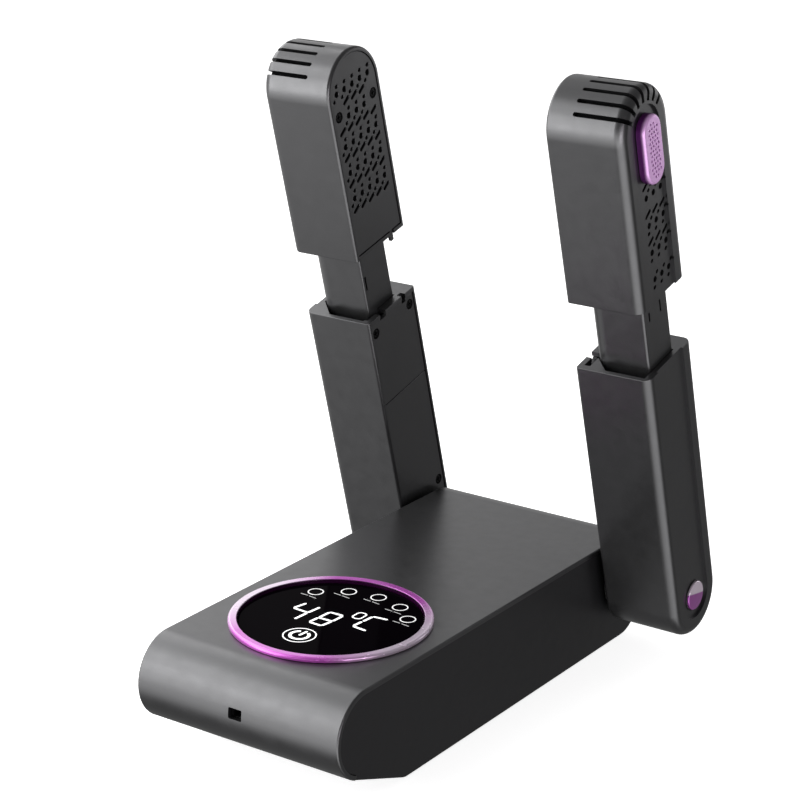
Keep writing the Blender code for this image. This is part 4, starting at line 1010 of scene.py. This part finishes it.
def slot_turns():
    """The places of the slots over the round top, as turns about the crown's centre."""
    crown = Matrix.Translation((0, 0, CROWN_U))
    steps = range(-SLOTS_EACH_SIDE, SLOTS_EACH_SIDE + 1)
    return [crown @ Matrix.Rotation(math.radians(step * SLOT_STEP), 4, "X") for step in steps]


def turned_plates(outline, half_width):
    """The same plate at every slot's place."""
    shape = bmesh.new()
    for turn in slot_turns():
        part = plate([outline], "y", -half_width, half_width)
        bmesh.ops.transform(part, matrix=turn, verts=part.verts)
        gather(shape, part)
    return shape


def top_slots(sign):
    """Radial slots over the round top that run out over the outer fillet to the panel's rim."""
    floor_r, panel_r, above_r = 16.4 * MM, 13.0 * MM, 24.4 * MM
    step_w, past_w = 32 * MM, 44 * MM
    profile = [(SLOT_START_W, floor_r), (step_w, floor_r), (step_w, panel_r), (past_w, panel_r)]
    profile += [(past_w, above_r), (SLOT_START_W, above_r)]
    return turned_plates([(sign * w, radius) for w, radius in profile], SLOT_WIDTH / 2)


def slot_ends(sign):
    """The round ends of the slots."""
    shape = bmesh.new()
    out = Matrix.Translation((sign * SLOT_START_W, 0, ARM_RADIUS))
    radius = SLOT_WIDTH / 2
    for turn in slot_turns():
        bmesh.ops.create_cone(
            shape, cap_ends=True, segments=24, radius1=radius, radius2=radius, depth=8 * MM, matrix=turn @ out
        )
    return shape


def slot_shade_strips(side, sign, place):
    """Black strips behind the slots, as painted shade for the dark inside of the head: one bent strip in each,
    well below the outer surface.
    """
    corner = (ARM_WIDTH - OUTER_FILLET, ARM_RADIUS - OUTER_FILLET)
    low_r, start = 13.2 * MM, SLOT_START_W - 0.5 * MM

    def line(depth):
        bend = arc(corner, OUTER_FILLET - depth, 90, 0, 8)
        return [(start, ARM_RADIUS - depth)] + bend + [(ARM_WIDTH - depth, low_r)]

    profile = line(SLOT_SHADE_DEPTH) + line(SLOT_SHADE_DEPTH + 1.0 * MM)[::-1]
    shape = turned_plates([(sign * w, radius) for w, radius in profile], SLOT_WIDTH / 2 - 0.05 * MM)
    finish_piece(plain_object(f"{side}_slot_shade", shape), VOID, f"{side}_head", place=place)


def perforation_shade_sheet(side, sign, place):
    """A black sheet just behind the perforated cover, round the neck and the screw posts, as painted shade for
    the dark inside of the head.
    """
    outline = arch(ARM_RADIUS - (WALL + 3.2 * MM), CROWN_U - 58 * MM, 40)
    posts = [circle(centre, BOSS_HOLE_RADIUS, 20) for centre in HEAD_SCREWS.values()]
    low = COVER_HIGH + 0.4 * MM
    obj = plain_object(f"{side}_shade_backing", arm_plate(sign, [outline] + posts, low, low + 0.8 * MM, 0.1 * MM))
    finish_piece(obj, VOID, f"{side}_head", place=place)


def head_shell(side, sign, place):
    obj = arm_shell(f"{side}_head_moulding", sign, arch(ARM_RADIUS, HEAD_BOTTOM), HEAD_BOTTOM)
    carve(obj, arm_plate(sign, [arch(ARM_RADIUS - WALL, HEAD_BOTTOM + WALL)], -OVERSHOOT, CAVITY_W))
    panel = arch(PANEL_RADIUS, HEAD_BOTTOM - OVERSHOOT, 48)
    carve(obj, arm_plate(sign, [panel], ARM_WIDTH - PANEL_DEPTH, ARM_WIDTH + OVERSHOOT))
    carve(obj, bosses(sign, HEAD_SCREWS.values()), "UNION")
    mouth = (HEAD_BOTTOM - OVERSHOOT, HEAD_BOTTOM + 2 * WALL)
    carve(obj, plate([neck_outline(sign, -GAP)], "z", *mouth))
    carve(obj, arm_box(sign, (-OVERSHOOT, COVER_HIGH + GAP), (TONGUE_V[0] - GAP, TONGUE_V[1] + GAP), mouth))
    blocked = {(0, column, "above") for column in (-1, 0, 1)} | {(3, column, "slant") for column in (-1, 0, 1)}
    holes = perforations(4, (-1, 0, 1), OUTER_TOP_ROW, 2.3 * MM, True, blocked)
    cutters = bmesh.new()
    for outline in holes:
        gather(cutters, arm_plate(sign, [outline], CAVITY_W - 1 * MM, ARM_WIDTH + OVERSHOOT))
    vents = [(0, GRILLE_LOW + (8 + 15 * row) * MM) for row in range(2)]
    carve(obj, arm_cylinders(sign, vents, 4 * MM, CAVITY_W - 1 * MM, ARM_WIDTH + OVERSHOOT, 32, cutters))
    carve(obj, top_slots(sign))
    carve(obj, slot_ends(sign))
    finish_piece(obj, GREY, f"{side}_head", f"{side}_head_shell", place)


def head_cover(side, sign, place):
    inset = WALL + GAP
    outline = arch(ARM_RADIUS - inset, HEAD_BOTTOM + inset)
    blocked = {(1, column, kind) for column in (-2, 2) for kind in ("dot", "above", "below")}
    blocked |= {(0, column, "slant") for column in (-2, 2)}
    holes = perforations(5, range(-2, 3), INNER_TOP_ROW, -0.5 * MM, False, blocked)
    shape = arm_plate(sign, [outline] + holes, COVER_LOW, COVER_HIGH, 0.2 * MM)
    obj = plain_object(f"{side}_head_cover_plate", shape)
    low_x, high_x = across(sign, COVER_LOW + 0.3 * MM, COVER_HIGH - 0.4 * MM)
    low, high = HEAD_BOTTOM - TONGUE_REACH, HEAD_BOTTOM + 6 * MM
    tongue = rounded_rectangle((TONGUE_V[0], low), (TONGUE_V[1], high), (0.5 * MM,) * 4, 4)
    carve(obj, plate([tongue], "x", low_x, high_x, 0.15 * MM), "UNION")
    carve(obj, recesses(sign, HEAD_SCREWS.values()))
    finish_piece(obj, GREY, f"{side}_head", f"{side}_head_cover", place)


def stadium(radius, low, high, steps=24):
    return arc((0, high - radius), radius, 0, 180, steps) + arc((0, low + radius), radius, 180, 360, steps)


def head_grille(side, sign, place, finish):
    seat = ARM_WIDTH - PANEL_DEPTH + GAP
    crest = ARM_WIDTH + GRILLE_HEIGHT
    shape = arm_plate(sign, [stadium(GRILLE_RADIUS, GRILLE_LOW, GRILLE_HIGH)], seat, crest)
    round_edges(shape, 1.5 * MM, 6, lambda co: near(co.x, sign * crest))
    obj = plain_object(f"{side}_scent_grille", shape)
    rim = 1.6 * MM
    pocket = stadium(GRILLE_RADIUS - rim, GRILLE_LOW + rim, GRILLE_HIGH - rim, 16)
    carve(obj, arm_plate(sign, [pocket], seat - 1 * MM, crest - 1.2 * MM))
    holes = []
    pitch_v, pitch_u = 2.15 * MM, 2.05 * MM
    middle = (GRILLE_LOW + GRILLE_HIGH) / 2
    for row in range(-6, 7):
        columns = (-0.5, 0.5) if abs(row) == 6 else (-1.5, -0.5, 0.5, 1.5)
        stagger = 0.35 * MM if row % 2 else -0.35 * MM
        holes += [(column * pitch_v + stagger, middle + row * pitch_u) for column in columns]
    carve(obj, arm_cylinders(sign, holes, GRILLE_HOLE_RADIUS, crest - 3 * MM, crest + 1 * MM, 10))
    finish_piece(obj, finish, f"{side}_head", f"{side}_head_grille", place)


def arm(side, sign):
    place = arm_place(side)
    pivot = JOINTS[f"{side}_arm_fold"]["pos_m"]
    sleeve_shell(side, sign, place)
    sleeve_covers(side, sign, place)
    cover_screws(side, sign, place, f"{side}_arm", "sleeve", SLEEVE_SCREWS)
    pivot_cap(side, sign, place, cap_metal(f"{side}_cap_metal"))
    neck_tube(side, sign, place)
    head_shell(side, sign, place)
    slot_shade_strips(side, sign, place)
    head_cover(side, sign, place)
    perforation_shade_sheet(side, sign, place)
    cover_screws(side, sign, place, f"{side}_head", "head", HEAD_SCREWS)
    face_x = abs(pivot[0]) + ARM_WIDTH + GRILLE_HEIGHT
    head_grille(side, sign, place, grille_metal(f"{side}_grille_metal", face_x))


# ---------------------------------------------------------------- finishes of the CAD pieces that stay


def dress_cad_pieces():
    """Gives each CAD piece that is still shown its procedural material."""
    finishes = {
        "power_inlet": BLACK,
        "control_board": BOARD,
        "display_board": BOARD,
        "blower_housing": BLACK,
        "blower_motor": STEEL,
        "impeller": BLACK,
        "intake_grille": BLACK,
        "intake_filter": FOAM,
        "heater_frame": BLACK,
        "heater_core": ALUMINIUM,
        "air_manifold": BLACK,
    }
    for side in ("left", "right"):
        finishes[f"{side}_pivot_tube"] = BLACK
        finishes[f"{side}_pivot_washer"] = RUBBER
        finishes[f"{side}_pivot_clip"] = STEEL
        finishes[f"{side}_neck_guide"] = BLACK
        finishes[f"{side}_deodoriser_board"] = BLACK
    for name, finish in finishes.items():
        node = frame["nodes"][name]
        node.data.materials.clear()
        node.data.materials.append(finish)


# ---------------------------------------------------------------- studio

# Softboxes: compass angle from the back towards the right, height angle, distance, sides, watts, and a tint
# where it isn't white.
SOFTBOXES = {
    "front_left_low": (215, 8, 1.30, (0.70, 0.70), 4.4),
    "front_left_high": (215, 35, 1.30, (0.70, 0.70), 2.6),
    "left_high": (250, 35, 1.30, (0.70, 0.70), 4.0),
    "back_left_high": (290, 35, 1.30, (0.70, 0.70), 3.9),
    "back_low": (20, 8, 1.30, (0.70, 0.70), 1.6),
    "right_strip": (110, -2, 1.20, (0.16, 0.50), 2.0, (1.0, 0.92, 0.99)),
    "front_right_strip": (127, -2, 1.20, (0.16, 0.50), 2.0, (1.0, 0.95, 1.0)),
    "near_front_left": (221, 19, 0.56, (0.30, 0.30), 0.37),
    "near_over_left": (252, 50, 0.49, (0.30, 0.30), 0.12),
    "near_back_left": (311, 19, 0.56, (0.30, 0.30), 0.14),
}
MIDDLE = Vector((0, 0, 0.12))  # what the lights face


def floor():
    """A pale matt board under the dryer, kept out of its reflections so that its sides stay dark."""
    shape = bmesh.new()
    bmesh.ops.create_grid(shape, x_segments=8, y_segments=8, size=12)
    obj = plain_object("studio_floor", shape)
    finish = Finish("pale_board", **{"Specular IOR Level": 0.1})
    mottle = finish.noise(6, 4)
    finish.colour(finish.mix(mottle, (0.88, 0.88, 0.88), (0.92, 0.92, 0.92)))
    finish.roughness(finish.ranged(mottle, 0.2, 0.8, 0.85, 0.95))
    finish.shader.inputs["Emission Color"].default_value = (1, 1, 1, 1)
    finish.shader.inputs["Emission Strength"].default_value = 0.82
    obj.data.materials.append(finish.material)
    obj.visible_diffuse = False
    obj.visible_glossy = False


def softbox(name, compass, height, distance, sides, power, tint=(1.0, 1.0, 1.0)):
    light = bpy.data.lights.new(name, "AREA")
    light.shape = "RECTANGLE"
    light.size, light.size_y = sides
    light.energy = power
    light.color = tint
    obj = bpy.data.objects.new(name, light)
    compass, height = math.radians(compass), math.radians(height)
    level = math.cos(height)
    towards = Vector((math.sin(compass) * level, math.cos(compass) * level, math.sin(height)))
    obj.location = MIDDLE + towards * distance
    obj.rotation_euler = (-towards).to_track_quat("-Z", "Y").to_euler()
    obj.visible_camera = False
    bpy.context.scene.collection.objects.link(obj)


def world():
    """White for the camera. For the dryer, a wall on the left and bright floor in front and on the right."""
    studio_world = bpy.data.worlds.new("studio")
    bpy.context.scene.world = studio_world
    sky = Shader(studio_world)
    x, y, z = sky.axes(sky.nodes.new("ShaderNodeTexCoord").outputs["Generated"])
    even = sky.ranged(x, 0, 1, 0.25, 0.14)
    above = sky.ranged(z, -0.12, 0.02, 0, 1)
    left_wall = sky.maths("MULTIPLY", sky.ranged(x, 0, -1, 0, 0.88), above)
    band_height = sky.maths("MULTIPLY", sky.ranged(z, -0.12, 0.02, 1, 0), sky.ranged(z, -0.68, -0.42, 0, 1))
    band = sky.maths("ADD", sky.ranged(x, 0, -1, 0, 0.60), sky.ranged(y, 0, -1, 0, 1.95))
    patch_height = sky.maths("MULTIPLY", sky.ranged(z, -0.85, -0.70, 0, 1), sky.ranged(z, -0.25, -0.45, 0, 1))
    patch = sky.maths("MULTIPLY", sky.ranged(x, -0.05, 0.35, 0, 1.75), sky.ranged(y, 0.35, 0.05, 0, 1))
    front_floor = sky.maths("MULTIPLY", band, band_height)
    right_floor = sky.maths("MULTIPLY", patch, patch_height)
    light = even
    for part in (left_wall, front_floor, right_floor):
        light = sky.maths("ADD", light, part)
    white = (1, 1, 1, 1)
    studio = sky.add("Background", {"Color": white, "Strength": light})
    backdrop = sky.add("Background", {"Color": white, "Strength": 1.0})
    camera_ray = sky.nodes.new("ShaderNodeLightPath").outputs["Is Camera Ray"]
    chosen = sky.add("MixShader", {0: camera_ray, 1: studio, 2: backdrop})
    sky.links.new(chosen, sky.nodes["World Output"].inputs["Surface"])


def camera():
    """The viewpoint: front right, a little above, through a long lens."""
    data = bpy.data.cameras.new("camera")
    data.lens = 108.8
    data.sensor_width = 36
    data.shift_x, data.shift_y = 0.0552, 0.0155
    data.clip_start, data.clip_end = 0.01, 100
    obj = bpy.data.objects.new("camera", data)
    obj.location = (0.5956, -0.8604, 0.4952)
    forward = Vector((-0.5556, 0.7663, -0.3227))
    roll = Matrix.Rotation(math.radians(-0.165), 4, "Z")
    aim = forward.to_track_quat("-Z", "Y").to_matrix().to_4x4() @ roll
    obj.rotation_euler = aim.to_euler()
    bpy.context.scene.collection.objects.link(obj)
    bpy.context.scene.camera = obj


def studio():
    floor()
    world()
    for name, values in SOFTBOXES.items():
        softbox(name, *values)
    camera()
    bpy.context.scene.view_settings.view_transform = "Standard"


# ---------------------------------------------------------------- build

base_top_shell()
base_lower_shell()
feet()
base_screws()
display()
power_contacts()
for arm_side, outward in (("left", -1), ("right", 1)):
    arm(arm_side, outward)
dress_cad_pieces()
studio()
